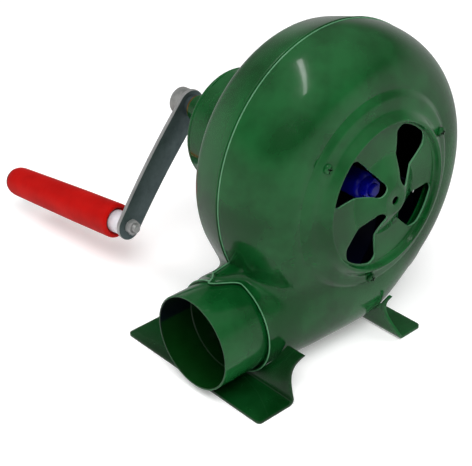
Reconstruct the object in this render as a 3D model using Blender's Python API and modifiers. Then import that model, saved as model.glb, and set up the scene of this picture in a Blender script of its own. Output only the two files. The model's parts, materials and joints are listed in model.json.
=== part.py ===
"""Hand-crank centrifugal blower: spiral sheet-steel housing, fan, gear train, crank and feet.

World frame in metres: +Z up, feet on Z = 0, shafts along Y, inlet facing -Y, outlet facing -X.
Pieces on the main shaft are drawn in the shaft frame: local x is world X, local y is height
above the shaft, and local z is world -Y, so a distance "back" of the seam is a negative local z.
"""

import math

import bmesh
import bpy
from mathutils import Vector

MM = 0.001
COLLECTION = "hand_crank_blower"

# Frame: where the main shaft and the seam between the two shell halves lie.
SHAFT_X = 8.81 * MM
SEAM_Y = -104.32 * MM
SHAFT_HEIGHT = 114 * MM

# Sheet steel and fits.
SHEET = 1.2 * MM
FIT = 0.3 * MM
SCREW_SHANK = 1.5 * MM

# Spiral housing: radius at its tongue, growth on the way round to the bottom, and depths.
TONGUE_ANGLE = math.radians(205)
BOTTOM_ANGLE = math.radians(-90)
TONGUE_RADIUS = 92.6 * MM
SPIRAL_GROWTH = 16.9 * MM
FRONT_FACE = -44 * MM
FRONT_FACE_RADIUS = 67 * MM
DOME_FULLNESS = 2.1
BAND_BACK = 28 * MM
BAND_TAPER = 6.4 * MM
BACK_FACE = 36 * MM
BACK_FACE_RADIUS = 52 * MM
SHELL_STEPS = 52
DOME_STEPS = 6
SEAM_GAP = 0.4 * MM
INLET_RADIUS = 50 * MM

# Outlet: a round neck that widens into the housing, and the sleeve pushed into it.
NECK_RADIUS = 33.8 * MM
NECK_HEIGHT = 37.5 * MM
NECK_OFFSET = -5 * MM
FRONT_LIP_X = -88 * MM
BACK_LIP_X = -100 * MM
MOUTH_X = -122 * MM
SLEEVE_RADIUS = 32.2 * MM
SLEEVE_STEP_X = -97 * MM
SLEEVE_END_X = -80 * MM

# Inlet cover.
COVER_RADIUS = 66.4 * MM
COVER_RIM_RADIUS = 50 * MM
COVER_RIM_FRONT = -54.7 * MM
COVER_DISC_FRONT = -50.4 * MM
COVER_HUB_FRONT = -60 * MM
COVER_HUB_RADIUS = 9.5 * MM
COVER_HUB_FOOT = 27 * MM
COVER_HOLE_RADIUS = 2.8 * MM
COVER_SCREW_CIRCLE = 60 * MM
COVER_SCREW_ANGLES = (144, 24, -96)
PETAL_ANGLES = (57, 151, 242, 331)
PETAL_INNER = 11 * MM
PETAL_OUTER = 46.8 * MM
PETAL_TIP = 4.6 * MM
PETAL_HALF_WIDTH = 15.4 * MM
PETAL_CORNER = 5.5 * MM
PETAL_SWING = math.radians(-15)

# Feet.
FOOT_FRONT_Y = -58 * MM
FOOT_BACK_Y = 73 * MM
FOOT_SHEET = 1.8 * MM
FRONT_FOOT_X = (-114.5 * MM, -84.7 * MM)
REAR_FOOT_X = (36.2 * MM, 13.9 * MM)
FRONT_FOOT_EDGE = (6.5 * MM, 1.5 * MM)
REAR_FOOT_EDGE = (9 * MM, 9 * MM)
FOOT_BACK_TAPER = 24 * MM
FOOT_CORNER = 3 * MM

# Fan.
FAN_RADIUS = 76 * MM
FAN_DISC_Y = 22 * MM
FAN_FRONT_Y = -35 * MM
FAN_HUB_FRONT = -34 * MM
FAN_SHAFT_FRONT = -43.5 * MM
BLADE_COUNT = 6
BLADE_INNER_RADIUS = 27 * MM
BLADE_SWEEP = math.radians(-38)
BLADE_PHASE = math.radians(172)
BLADE_FOOT = 8 * MM
FAN_SHAFT_RADIUS = 4 * MM

# Gear train: two meshes of the same pair, the idler above the shaft line.
MODULE = 1 * MM
GEAR_TEETH = 32
PINION_TEETH = 10
PINION_SHIFT = 0.45
PRESSURE_ANGLE = math.radians(20)
BACKLASH = 0.22 * MM
TIP_RELIEF = 0.12 * MM
CENTRE_DISTANCE = MODULE * (GEAR_TEETH + PINION_TEETH) / 2
IDLER_AXLE_RADIUS = 2.5 * MM
PINION_BORE = IDLER_AXLE_RADIUS + FIT

# Gear housing.
DRUM_RADIUS = 41.7 * MM
DRUM_INSIDE = 40.4 * MM
DRUM_BACK = 88 * MM
BASE_RADIUS = 48 * MM
BASE_SCREW_CIRCLE = 44.8 * MM
BASE_SCREW_ANGLES = (90, 210, 330)
GEAR_SCREW_CIRCLE = 35 * MM
GEAR_SCREW_ANGLES = (30, 150, 270)
BOSS_END = 128 * MM

# Crank.
CRANK_ANGLE = math.radians(-132.1)
CRANK_THROW = 98 * MM
CRANK_SHAFT_RADIUS = 5 * MM
ARM_Y = 136.5 * MM
ARM_SHEET = 3 * MM
ARM_HUB_WIDTH = 23 * MM
ARM_END_WIDTH = 20.5 * MM
ARM_BOW = (20 * MM, 88 * MM)
GRIP_SPLAY = math.radians(6.2)
BOLT_RADIUS = 3 * MM
GRIP_START = 12 * MM
GRIP_LENGTH = 125 * MM
GRIP_RADIUS_NEAR = 13 * MM
GRIP_RADIUS_FAR = 11.4 * MM

QUARTER = math.pi / 2
FULL = 2 * math.pi

COLOURS = {
    "green_enamel": ((0.012, 0.085, 0.03), 0.0, 0.2),
    "blue_enamel": ((0.004, 0.006, 0.16), 0.0, 0.3),
    "dark_steel": ((0.09, 0.11, 0.115), 0.7, 0.42),
    "bright_steel": ((0.5, 0.5, 0.49), 1.0, 0.32),
    "bronze": ((0.48, 0.28, 0.1), 1.0, 0.35),
    "cast_iron": ((0.11, 0.11, 0.115), 0.6, 0.6),
    "red_plastic": ((0.62, 0.008, 0.004), 0.0, 0.4),
    "white_plastic": ((0.7, 0.68, 0.7), 0.0, 0.45),
}


# Scene helpers


def clear_scene():
    for old in list(bpy.data.objects):
        bpy.data.objects.remove(old, do_unlink=True)


def make_collections():
    parts = bpy.data.collections.new(COLLECTION)
    cutters = bpy.data.collections.new("cutters")
    for collection in (parts, cutters):
        bpy.context.scene.collection.children.link(collection)
    return parts, cutters


def make_materials():
    made = {}
    for name, (colour, metallic, roughness) in COLOURS.items():
        material = bpy.data.materials.new(name)
        material.use_nodes = True
        shader = material.node_tree.nodes["Principled BSDF"]
        shader.inputs["Base Color"].default_value = (*colour, 1)
        shader.inputs["Metallic"].default_value = metallic
        shader.inputs["Roughness"].default_value = roughness
        made[name] = material
    return made


clear_scene()
PARTS, CUTTERS = make_collections()
MATERIALS = make_materials()


def empty(name, parent=None, location=(0, 0, 0), rotation=(0, 0, 0)):
    frame = bpy.data.objects.new(name, None)
    PARTS.objects.link(frame)
    frame.parent = parent
    frame.location = location
    frame.rotation_euler = rotation
    return frame


def place(data, name, parent, colour, location=(0, 0, 0), rotation=(0, 0, 0)):
    """A visible part: it holds the mesh or curve, its place and its own material."""
    part = bpy.data.objects.new(name, data)
    PARTS.objects.link(part)
    part.parent = parent
    part.location = location
    part.rotation_euler = rotation
    own = MATERIALS[colour].copy()
    own.name = f"{name}_{colour}"
    data.materials.append(own)
    return part


def as_cutter(obj):
    """Moves an object to the cutters, where it shapes other parts and isn't one itself."""
    for collection in list(obj.users_collection):
        collection.objects.unlink(obj)
    CUTTERS.objects.link(obj)
    obj.hide_render = True
    obj.display_type = "WIRE"
    return obj


def boolean(obj, other, operation="DIFFERENCE"):
    step = obj.modifiers.new(f"{operation.lower()} {other.name}", "BOOLEAN")
    step.operation = operation
    step.object = other
    step.solver = "EXACT"


def mesh_from(bm, name, smooth_angle=math.radians(35)):
    data = bpy.data.meshes.new(name)
    bm.to_mesh(data)
    bm.free()
    data.shade_smooth()
    data.set_sharp_from_angle(angle=smooth_angle)
    return data


# Shape helpers


def turned(name, profile, parent, colour, steps=40, location=(0, 0, 0), rotation=(0, 0, 0)):
    """A turned piece about its local z. The profile holds (radius, distance back) pairs that run
    front to back on the outer side; one that starts and ends off the axis closes into a ring."""
    bm = bmesh.new()
    points = [bm.verts.new((radius, 0, -back)) for radius, back in profile]
    for first, second in zip(points, points[1:]):
        bm.edges.new((first, second))
    if profile[0][0] > 0 and profile[-1][0] > 0:
        bm.edges.new((points[-1], points[0]))
    part = place(mesh_from(bm, name), name, parent, colour, location, rotation)
    screw = part.modifiers.new("turn", "SCREW")
    screw.axis = "Z"
    screw.steps = steps
    screw.render_steps = steps
    screw.use_merge_vertices = True
    screw.merge_threshold = 0.00001
    screw.use_smooth_shade = True
    return part


def square_ring(inner, outer, front, back):
    """A ring with sharp edges, for turned()."""
    return [(inner, front), (outer, front), (outer, back), (inner, back)]


def bevelled_ring(inner, outer, front, back, bevel):
    """A ring with its outer edges bevelled, for turned()."""
    return [
        (inner, front),
        (outer - bevel, front),
        (outer, front + bevel),
        (outer, back - bevel),
        (outer - bevel, back),
        (inner, back),
    ]


def bar_profile(radius, front, back):
    """A plain round bar, for turned()."""
    return [(0, front), (radius, front), (radius, back), (0, back)]


def circle(radius, steps=24, centre=(0, 0), phase=0.0):
    return [
        (
            centre[0] + radius * math.cos(phase + FULL * i / steps),
            centre[1] + radius * math.sin(phase + FULL * i / steps),
        )
        for i in range(steps)
    ]


def plate(name, loops, front, back, parent, colour, turn=0.0):
    """A flat piece from front to back along local -z. Its loops, an outline and any holes, are in
    local x and y, and turn is its angle about z."""
    data = bpy.data.curves.new(name, "CURVE")
    data.dimensions = "2D"
    data.fill_mode = "BOTH"
    data.extrude = (back - front) / 2
    for loop in loops:
        spline = data.splines.new("POLY")
        spline.points.add(len(loop) - 1)
        for point, (x, y) in zip(spline.points, loop):
            point.co = (x, y, 0, 1)
        spline.use_cyclic_u = True
    return place(data, name, parent, colour, (0, 0, -(front + back) / 2), (0, 0, turn))


def to_mesh(part):
    """Turns a curve part into a mesh part with welded caps."""
    bpy.context.view_layer.update()
    graph = bpy.context.evaluated_depsgraph_get()
    data = bpy.data.meshes.new_from_object(part.evaluated_get(graph))
    bm = bmesh.new()
    bm.from_mesh(data)
    bmesh.ops.remove_doubles(bm, verts=bm.verts, dist=0.000001)
    bm.to_mesh(data)
    bm.free()
    name = part.name
    parent = part.parent
    material = part.data.materials[0]
    basis = part.matrix_basis.copy()
    bpy.data.objects.remove(part, do_unlink=True)
    solid = bpy.data.objects.new(name, data)
    PARTS.objects.link(solid)
    solid.parent = parent
    solid.matrix_basis = basis
    data.materials.clear()
    data.materials.append(material)
    return solid


def bar_cutter(name, parent, radius, front, back, location=(0, 0, 0), steps=12):
    """A round bar that drills a hole along the shaft direction."""
    return as_cutter(
        turned(name, bar_profile(radius, front, back), parent, "dark_steel", steps, location)
    )


def on_circle(radius, angle):
    return radius * math.cos(angle), radius * math.sin(angle), 0


def drill(part, name, radius, front, back, spot=(0, 0, 0), steps=12):
    """A round hole along the shaft direction, at a spot in the shaft frame."""
    boolean(part, bar_cutter(name, SHAFT, radius, front, back, spot, steps))


def drill_circle(part, name, circle_radius, angles, front, back):
    """Screw holes evenly named round a circle; the angles are in degrees."""
    for i, angle in enumerate(angles, 1):
        spot = on_circle(circle_radius, math.radians(angle))
        drill(part, f"{name}_{i}", SCREW_SHANK + FIT, front, back, spot)


def loft(name, sections):
    """A closed solid through rings of equally many points; its two ends are capped."""
    bm = bmesh.new()
    rings = [[bm.verts.new(point) for point in section] for section in sections]
    for ring, after in zip(rings, rings[1:]):
        for i in range(len(ring)):
            j = (i + 1) % len(ring)
            bm.faces.new((ring[i], ring[j], after[j], after[i]))
    bm.faces.new(rings[0])
    bm.faces.new(rings[-1])
    bmesh.ops.recalc_face_normals(bm, faces=bm.faces)
    return mesh_from(bm, name)


# Frames


def arm_set(x):
    """How far the bowed crank arm has come towards the housing at x along it."""
    start, finish = ARM_BOW
    past = min(max(x - start, 0), finish - start)
    return math.tan(GRIP_SPLAY) * (past * past / 2 / (finish - start) + max(x - finish, 0))


SHAFT = empty("shaft_line", None, (SHAFT_X, SEAM_Y, SHAFT_HEIGHT), (QUARTER, 0, 0))
GROUND = empty("ground_frame", None, (SHAFT_X, SEAM_Y, 0))
FAN = empty("fan_frame", SHAFT)
IDLER = empty("idler_frame", SHAFT, (0, CENTRE_DISTANCE, 0))
CRANK = empty("crank_frame", SHAFT, (0, 0, 0), (0, 0, CRANK_ANGLE))
PIN_SPOT = (CRANK_THROW, 0, arm_set(CRANK_THROW) - ARM_Y)
PIN = empty("grip_frame", CRANK, PIN_SPOT, (0, -GRIP_SPLAY, 0))


# Housing shells


def spiral_radius(angle):
    """Radius of the seam at an angle from +X towards +Z, from the tongue down to the bottom, with
    a smooth return between the bottom and the tongue, where the neck leaves the housing."""
    turned_by = (TONGUE_ANGLE - angle) % FULL
    growing = TONGUE_ANGLE - BOTTOM_ANGLE
    if turned_by <= growing:
        return TONGUE_RADIUS + SPIRAL_GROWTH * turned_by / growing
    t = (turned_by - growing) / (FULL - growing)
    return TONGUE_RADIUS + SPIRAL_GROWTH * (1 - t * t * (3 - 2 * t))


def shell_section(radius, inset):
    """(radius, back) points of the housing's section from the front face round to the back."""
    points = []
    edge = FRONT_FACE_RADIUS
    seam = radius - inset
    for i in range(DOME_STEPS + 1):
        a = QUARTER * (1 - i / DOME_STEPS)
        out = max(math.cos(a), 0) ** (2 / DOME_FULLNESS)
        forward = math.sin(a) ** (2 / DOME_FULLNESS)
        points.append((edge + (seam - edge) * out, (FRONT_FACE + inset) * forward))
    back = BACK_FACE - inset
    taper = seam - BAND_TAPER
    points += [
        (seam - 0.18 * BAND_TAPER, 0.4 * BAND_BACK),
        (seam - 0.55 * BAND_TAPER, 0.75 * BAND_BACK),
        (taper, BAND_BACK - inset),
        (taper - 3.2 * MM, BAND_BACK + 2.6 * MM - inset),
        (taper - 12 * MM, BAND_BACK + 5 * MM - inset),
        ((taper + BACK_FACE_RADIUS) / 2, (BAND_BACK + 5 * MM + BACK_FACE) / 2 + 0.8 * MM - inset),
        (BACK_FACE_RADIUS, back),
    ]
    return points


def spiral_body(name, inset):
    """The housing as a closed solid, inset from its outer surface; a negative inset grows it."""
    bm = bmesh.new()
    rings = []
    for i in range(SHELL_STEPS):
        angle = TONGUE_ANGLE - FULL * i / SHELL_STEPS
        section = shell_section(spiral_radius(angle), inset)
        rings.append(
            [
                bm.verts.new((radius * math.cos(angle), radius * math.sin(angle), -back))
                for radius, back in section
            ]
        )
    for ring, after in zip(rings, rings[1:] + rings[:1]):
        for i in range(len(ring) - 1):
            bm.faces.new((ring[i], ring[i + 1], after[i + 1], after[i]))
    bm.faces.new([ring[0] for ring in rings])
    bm.faces.new([ring[-1] for ring in rings])
    bmesh.ops.recalc_face_normals(bm, faces=bm.faces)
    return mesh_from(bm, name)


def neck_stations():
    """(x, half width, half height, height of the middle, y of the middle, fullness)."""
    return [
        (BACK_LIP_X - 2 * MM, NECK_RADIUS, NECK_RADIUS, NECK_HEIGHT, NECK_OFFSET, 2.0),
        (FRONT_LIP_X, NECK_RADIUS, NECK_RADIUS, NECK_HEIGHT, NECK_OFFSET, 2.0),
        (-68 * MM, 35.6 * MM, 35.2 * MM, 39.2 * MM, -5.8 * MM, 2.15),
        (-45 * MM, 36.8 * MM, 37 * MM, 41.2 * MM, -6.4 * MM, 2.35),
        (-10 * MM, 37 * MM, 38 * MM, 42.4 * MM, -6.4 * MM, 2.45),
        (16 * MM, 36 * MM, 37 * MM, 43 * MM, -6.4 * MM, 2.4),
        (46 * MM, 27 * MM, 30 * MM, 50 * MM, -8 * MM, 2.2),
    ]


def neck_body(name, inset, steps=28):
    """The outlet duct as a closed solid along x, inset from its outer surface."""
    sections = []
    for x, width, height, middle, offset, fullness in neck_stations():
        ring = []
        for px, py in circle(1, steps):
            wide = math.copysign(abs(px) ** (2 / fullness), px)
            high = math.copysign(abs(py) ** (2 / fullness), py)
            y = offset + (width - inset) * wide
            z = middle + (height - inset) * high
            ring.append((x, z - SHAFT_HEIGHT, -y))
        sections.append(ring)
    return loft(name, sections)


def box_cutter(name, parent, low, high):
    """An axis-aligned block between two corners of its parent's frame."""
    bpy.ops.mesh.primitive_cube_add(size=1)
    block = bpy.context.object
    block.name = name
    block.parent = parent
    block.location = [(a + b) / 2 for a, b in zip(low, high)]
    block.scale = [b - a for a, b in zip(low, high)]
    return as_cutter(block)


def guide(data, name, parent=SHAFT):
    obj = bpy.data.objects.new(name, data)
    CUTTERS.objects.link(obj)
    obj.parent = parent
    return as_cutter(obj)


def housing():
    reach = 200 * MM
    neck_outside = guide(neck_body("neck_outside", 0), "neck_outside")
    spiral_inside = guide(spiral_body("spiral_inside", SHEET), "spiral_inside")
    neck_inside = guide(neck_body("neck_inside", SHEET), "neck_inside")
    front_half = box_cutter("front_half", SHAFT, (-reach, -reach, 0), (reach, reach, reach))
    back_half = box_cutter("back_half", SHAFT, (BACK_LIP_X, -reach, -reach), (reach, reach, -SEAM_GAP))
    neck_top = NECK_HEIGHT + NECK_RADIUS + 4 * MM - SHAFT_HEIGHT
    front_lip = box_cutter("front_lip", SHAFT, (-reach, -reach, -reach), (FRONT_LIP_X, neck_top, reach))
    for name, half in (("front_shell", front_half), ("back_shell", back_half)):
        shell = place(spiral_body(name, 0), name, SHAFT, "green_enamel")
        boolean(shell, neck_outside, "UNION")
        boolean(shell, spiral_inside)
        boolean(shell, neck_inside)
        boolean(shell, half, "INTERSECT")
        if name == "front_shell":
            boolean(shell, front_lip)
            drill(shell, "inlet_bore", INLET_RADIUS, -60 * MM, -30 * MM, steps=48)
            drill_circle(shell, "cover_bore", COVER_SCREW_CIRCLE, COVER_SCREW_ANGLES, -50 * MM, -38 * MM)
        else:
            drill(shell, "gear_bore", 15 * MM, 25 * MM, 45 * MM, steps=32)
            drill_circle(shell, "base_bore", BASE_SCREW_CIRCLE, BASE_SCREW_ANGLES, 25 * MM, 45 * MM)


def pan_screw(name, seat, tip, angle, circle_radius, head_radius=3.3 * MM, head=2.2 * MM, facing=-1):
    """A pan-head screw with a cross slot. Its head lies in front of the seat when facing is -1."""
    spot = on_circle(circle_radius, math.radians(angle))
    crown = seat + facing * head
    dome = [
        (0, crown),
        (0.6 * head_radius, crown - facing * 0.1 * head),
        (0.93 * head_radius, crown - facing * 0.45 * head),
        (head_radius, seat),
        (SCREW_SHANK, seat),
        (SCREW_SHANK, tip),
        (0, tip),
    ]
    profile = dome if facing < 0 else dome[::-1]
    screw = turned(name, profile, SHAFT, "green_enamel", 12, spot)
    slot_depth = 0.9 * MM
    low, high = sorted((crown - facing * slot_depth, crown + facing * MM))
    for i, (half_x, half_y) in enumerate(((0.45 * MM, 1.9 * MM), (1.9 * MM, 0.45 * MM)), 1):
        x, y, _ = spot
        slot = box_cutter(
            f"{name}_slot_{i}", SHAFT, (x - half_x, y - half_y, -high), (x + half_x, y + half_y, -low)
        )
        boolean(screw, slot)
    return screw


# Outlet sleeve


def sleeve():
    wall = 1.3 * MM
    swage = 0.7 * MM
    bore = SLEEVE_RADIUS - wall
    profile = [
        (bore, MOUTH_X),
        (SLEEVE_RADIUS, MOUTH_X),
        (SLEEVE_RADIUS, SLEEVE_END_X),
        (bore - swage, SLEEVE_END_X),
        (bore - swage, SLEEVE_STEP_X + swage),
        (bore, SLEEVE_STEP_X),
    ]
    turned(
        "outlet_sleeve",
        profile,
        GROUND,
        "green_enamel",
        44,
        (0, NECK_OFFSET, NECK_HEIGHT),
        (0, -QUARTER, 0),
    )


# Inlet cover


def petal_outline():
    """One teardrop opening along +x: a round inner tip, sides that curve apart, round corners and
    an outer end that follows the rim. The tip is swung sideways."""
    steps = 6
    side = []
    for i in range(4):
        a = QUARTER * i / 3
        side.append((PETAL_INNER + PETAL_TIP * (1 - math.cos(a)), PETAL_TIP * math.sin(a)))
    start, finish = PETAL_INNER + PETAL_TIP, PETAL_OUTER - PETAL_CORNER
    for i in range(1, steps):
        t = i / steps
        width = PETAL_TIP + (PETAL_HALF_WIDTH - PETAL_TIP) * t ** 1.15
        side.append((start + (finish - start) * t, width))
    for i in range(5):
        a = QUARTER * i / 4
        out = finish + PETAL_CORNER * math.sin(a)
        side.append((out, PETAL_HALF_WIDTH - PETAL_CORNER * (1 - math.cos(a))))
    side.append((PETAL_OUTER, 0))

    def spot(radius, width):
        t = (radius - PETAL_INNER) / (PETAL_OUTER - PETAL_INNER)
        angle = PETAL_SWING * (1 - t) ** 1.2 + width / radius
        return radius * math.cos(angle), radius * math.sin(angle)

    upper = [spot(radius, width) for radius, width in side]
    lower = [spot(radius, -width) for radius, width in side[1:-1]]
    return upper + lower[::-1]


def inlet_cover():
    front = [
        (COVER_RADIUS, -45.7 * MM),
        (62.5 * MM, -47.7 * MM),
        (57 * MM, -48.1 * MM),
        (53 * MM, -47.9 * MM),
        (51 * MM, -53.8 * MM),
        (COVER_RIM_RADIUS, COVER_RIM_FRONT),
        (49 * MM, -54 * MM),
        (47.8 * MM, COVER_DISC_FRONT),
        (COVER_HUB_FOOT, COVER_DISC_FRONT),
        (COVER_HUB_RADIUS + 1.5 * MM, COVER_HUB_FRONT + 1 * MM),
        (COVER_HUB_RADIUS - 0.5 * MM, COVER_HUB_FRONT),
        (COVER_HOLE_RADIUS, COVER_HUB_FRONT),
    ]
    behind = [(radius, back + SHEET) for radius, back in front]
    profile = front[::-1] + behind
    cover = turned("inlet_cover", profile, SHAFT, "green_enamel", 40)
    for i, angle in enumerate(PETAL_ANGLES, 1):
        cutter = plate(
            f"petal_{i}",
            [petal_outline()],
            -70 * MM,
            -40 * MM,
            SHAFT,
            "dark_steel",
            math.radians(angle),
        )
        boolean(cover, as_cutter(to_mesh(cutter)))
    drill_circle(cover, "cover_hole", COVER_SCREW_CIRCLE, COVER_SCREW_ANGLES, -60 * MM, -42 * MM)
    for i, angle in enumerate(COVER_SCREW_ANGLES, 1):
        pan_screw(f"cover_screw_{i}", -48.4 * MM, -39 * MM, angle, COVER_SCREW_CIRCLE)


# Feet


def foot(name, x_range, lean, horn, edge):
    """A folded sheet: a flange on the ground and a web that is cut to the housing above it. The
    edge holds how far the web's front edge is hollowed and how far its top is set back."""
    outer_x, fold_x = x_range
    hollow, set_back = edge
    toward = math.copysign(1, fold_x - outer_x)
    bend = 4 * MM
    columns = 8
    rows = []
    for i in range(4):
        a = QUARTER * i / 3
        across = FOOT_CORNER * (1 - math.cos(a))
        rows.append((outer_x + toward * across, 0.0, FOOT_CORNER * (1 - math.sin(a))))
    for i in range(5):
        a = QUARTER * i / 4
        rows.append((fold_x - toward * bend * (1 - math.sin(a)), bend * (1 - math.cos(a)), 0.0))
    heights = (8 * MM, 13 * MM, 18 * MM, 23 * MM, 27 * MM, horn)
    rows += [(fold_x + lean * (z - bend), z, 0.0) for z in heights]
    bm = bmesh.new()
    grid = []
    for x, z, corner in rows:
        rise = min(max(z - bend, 0) / (horn - bend), 1)
        waist = hollow * math.sin(math.pi * rise) + set_back * rise
        pinch = 1 - (1 - rise) ** 2.2
        low = FOOT_FRONT_Y + waist + corner
        high = FOOT_BACK_Y - FOOT_BACK_TAPER * pinch - corner
        line = []
        for i in range(columns + 1):
            line.append(bm.verts.new((x, low + (high - low) * i / columns, z)))
        grid.append(line)
    for line, after in zip(grid, grid[1:]):
        for i in range(columns):
            bm.faces.new((line[i], line[i + 1], after[i + 1], after[i]))
    bmesh.ops.recalc_face_normals(bm, faces=bm.faces)
    facing_up = grid[0][0].link_faces[0].normal.z > 0
    part = place(mesh_from(bm, name), name, GROUND, "green_enamel")
    thick = part.modifiers.new("sheet", "SOLIDIFY")
    thick.thickness = FOOT_SHEET
    thick.offset = 1.0 if facing_up else -1.0
    return part


def feet():
    clearance = -0.4 * MM
    around_spiral = guide(spiral_body("around_spiral", clearance), "around_spiral")
    around_neck = guide(neck_body("around_neck", clearance), "around_neck")
    for part in (
        foot("front_foot", FRONT_FOOT_X, 0.42, 31 * MM, FRONT_FOOT_EDGE),
        foot("rear_foot", REAR_FOOT_X, 0.0, 30 * MM, REAR_FOOT_EDGE),
    ):
        boolean(part, around_neck)
        boolean(part, around_spiral)


# Fan


def blade(index):
    """A curved sheet blade with a foot along the disc: an L section swept along its curve."""
    wall = SHEET
    back = FAN_DISC_Y - FIT
    steps = 8
    sections = []
    for i in range(steps + 1):
        t = i / steps
        radius = BLADE_INNER_RADIUS + (FAN_RADIUS - 1.5 * MM - BLADE_INNER_RADIUS) * t
        angle = BLADE_SWEEP * t ** 1.3
        slope = math.atan2(
            radius * BLADE_SWEEP * 1.3 * max(t, 0.02) ** 0.3,
            FAN_RADIUS - BLADE_INNER_RADIUS,
        )
        side = angle + slope + QUARTER
        normal = Vector((math.cos(side), math.sin(side), 0))
        point = Vector((radius * math.cos(angle), radius * math.sin(angle), 0))
        front = FAN_FRONT_Y + 4 * MM * t
        corners = (
            (0, front),
            (wall, front),
            (wall, back - wall),
            (BLADE_FOOT, back - wall),
            (BLADE_FOOT, back),
            (0, back),
        )
        sections.append([point + normal * out + Vector((0, 0, -y)) for out, y in corners])
    data = loft(f"fan_blade_{index}", sections)
    turn = BLADE_PHASE + FULL * (index - 1) / BLADE_COUNT
    place(data, f"fan_blade_{index}", FAN, "blue_enamel", rotation=(0, 0, turn))


def fan():
    disc = turned(
        "fan_disc",
        square_ring(8.5 * MM, FAN_RADIUS, FAN_DISC_Y, FAN_DISC_Y + SHEET),
        FAN,
        "blue_enamel",
        40,
    )
    flange = FAN_DISC_Y + SHEET + FIT
    bore = FAN_SHAFT_RADIUS + FIT
    hub = turned(
        "fan_hub",
        [
            (bore, FAN_HUB_FRONT),
            (7 * MM, FAN_HUB_FRONT),
            (8.1 * MM, FAN_HUB_FRONT + 1 * MM),
            (8.1 * MM, flange),
            (18 * MM, flange),
            (18 * MM, flange + 2.6 * MM),
            (9 * MM, flange + 2.6 * MM),
            (9 * MM, flange + 4 * MM),
            (bore, flange + 4 * MM),
        ],
        FAN,
        "blue_enamel",
        20,
    )
    rivet_circle = 13.2 * MM
    for i in range(3):
        spot = on_circle(rivet_circle, math.radians(30 + 120 * i))
        for part in (disc, hub):
            bore_name = f"{part.name}_rivet_bore_{i}"
            boolean(part, bar_cutter(bore_name, FAN, 2.1 * MM, 15 * MM, 30 * MM, spot))
        head = FAN_DISC_Y - FIT
        tail = flange + 2.6 * MM + FIT
        turned(
            f"fan_rivet_{i + 1}",
            [
                (0, head - 1.5 * MM),
                (2 * MM, head - 1.1 * MM),
                (3.2 * MM, head),
                (1.8 * MM, head),
                (1.8 * MM, tail),
                (2.8 * MM, tail),
                (1.8 * MM, tail + 1.1 * MM),
                (0, tail + 1.1 * MM),
            ],
            FAN,
            "bright_steel",
            12,
            spot,
        )
    plate(
        "fan_nut",
        [circle(7.5 * MM, 6), circle(bore, 24)],
        FAN_HUB_FRONT - FIT - 6.5 * MM,
        FAN_HUB_FRONT - FIT,
        FAN,
        "bright_steel",
    )
    turned(
        "fan_shaft",
        [
            (0, FAN_SHAFT_FRONT),
            (FAN_SHAFT_RADIUS - 0.6 * MM, FAN_SHAFT_FRONT),
            (FAN_SHAFT_RADIUS, FAN_SHAFT_FRONT + 0.6 * MM),
            (FAN_SHAFT_RADIUS, 47.5 * MM),
            (IDLER_AXLE_RADIUS, 47.5 * MM),
            (IDLER_AXLE_RADIUS, 60.6 * MM),
            (IDLER_AXLE_RADIUS - 0.4 * MM, 61 * MM),
            (0, 61 * MM),
        ],
        FAN,
        "bright_steel",
        16,
    )
    for i in range(1, BLADE_COUNT + 1):
        blade(i)


# Gear train


def involute(angle):
    return math.tan(angle) - angle


def gear_outline(teeth, shift, tooth_at):
    """Involute outline with profile shift; a tooth is centred at the angle tooth_at."""
    pitch = MODULE * teeth / 2
    base = pitch * math.cos(PRESSURE_ANGLE)
    tip = pitch + MODULE * (1 + shift) - TIP_RELIEF
    root = pitch - MODULE * (1.25 - shift)
    half_pitch = (QUARTER + 2 * shift * math.tan(PRESSURE_ANGLE)) / teeth - BACKLASH / 2 / pitch / 2

    def half_angle(radius):
        pressure = math.acos(min(base / radius, 1.0))
        return half_pitch + involute(PRESSURE_ANGLE) - involute(pressure)

    start = max(base, root)
    flank = [start + (tip - start) * t for t in (0, 0.5, 1)]
    points = []
    for i in range(teeth):
        middle = tooth_at + FULL * i / teeth
        root_half = half_angle(start)
        if root < start - 0.05 * MM:
            points.append((root, middle - root_half))
        points += [(radius, middle - half_angle(radius)) for radius in flank]
        points += [(radius, middle + half_angle(radius)) for radius in reversed(flank)]
        if root < start - 0.05 * MM:
            points.append((root, middle + root_half))
    return [(radius * math.cos(a), radius * math.sin(a)) for radius, a in points]


def gear_train():
    down, up = -QUARTER, QUARTER
    bore = circle(PINION_BORE, 20)
    gap_up = up + math.pi / GEAR_TEETH
    gap_down = down + math.pi / GEAR_TEETH
    pinion = gear_outline(PINION_TEETH, PINION_SHIFT, up)
    idler_pinion = gear_outline(PINION_TEETH, PINION_SHIFT, down)
    idler_gear = gear_outline(GEAR_TEETH, -PINION_SHIFT, gap_down)
    crank_gear = gear_outline(GEAR_TEETH, -PINION_SHIFT, gap_up)
    crank_bore = circle(CRANK_SHAFT_RADIUS + FIT, 24)
    plate("output_pinion", [pinion, bore], 49 * MM, 58 * MM, FAN, "bright_steel")
    plate("idler_gear", [idler_gear, bore], 50.5 * MM, 56.5 * MM, IDLER, "cast_iron")
    plate("idler_pinion", [idler_pinion, bore], 56.8 * MM, 75 * MM, IDLER, "bright_steel")
    plate("crank_gear", [crank_gear, crank_bore], 67 * MM, 74 * MM, SHAFT, "cast_iron")
    turned("idler_axle", bar_profile(IDLER_AXLE_RADIUS, 37 * MM, 91 * MM), IDLER, "bright_steel", 20)
    turned(
        "shaft_bush",
        bevelled_ring(FAN_SHAFT_RADIUS + FIT, 7.9 * MM, 29 * MM, 46.5 * MM, 0.5 * MM),
        SHAFT,
        "bronze",
        20,
    )


# Gear housing


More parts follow.
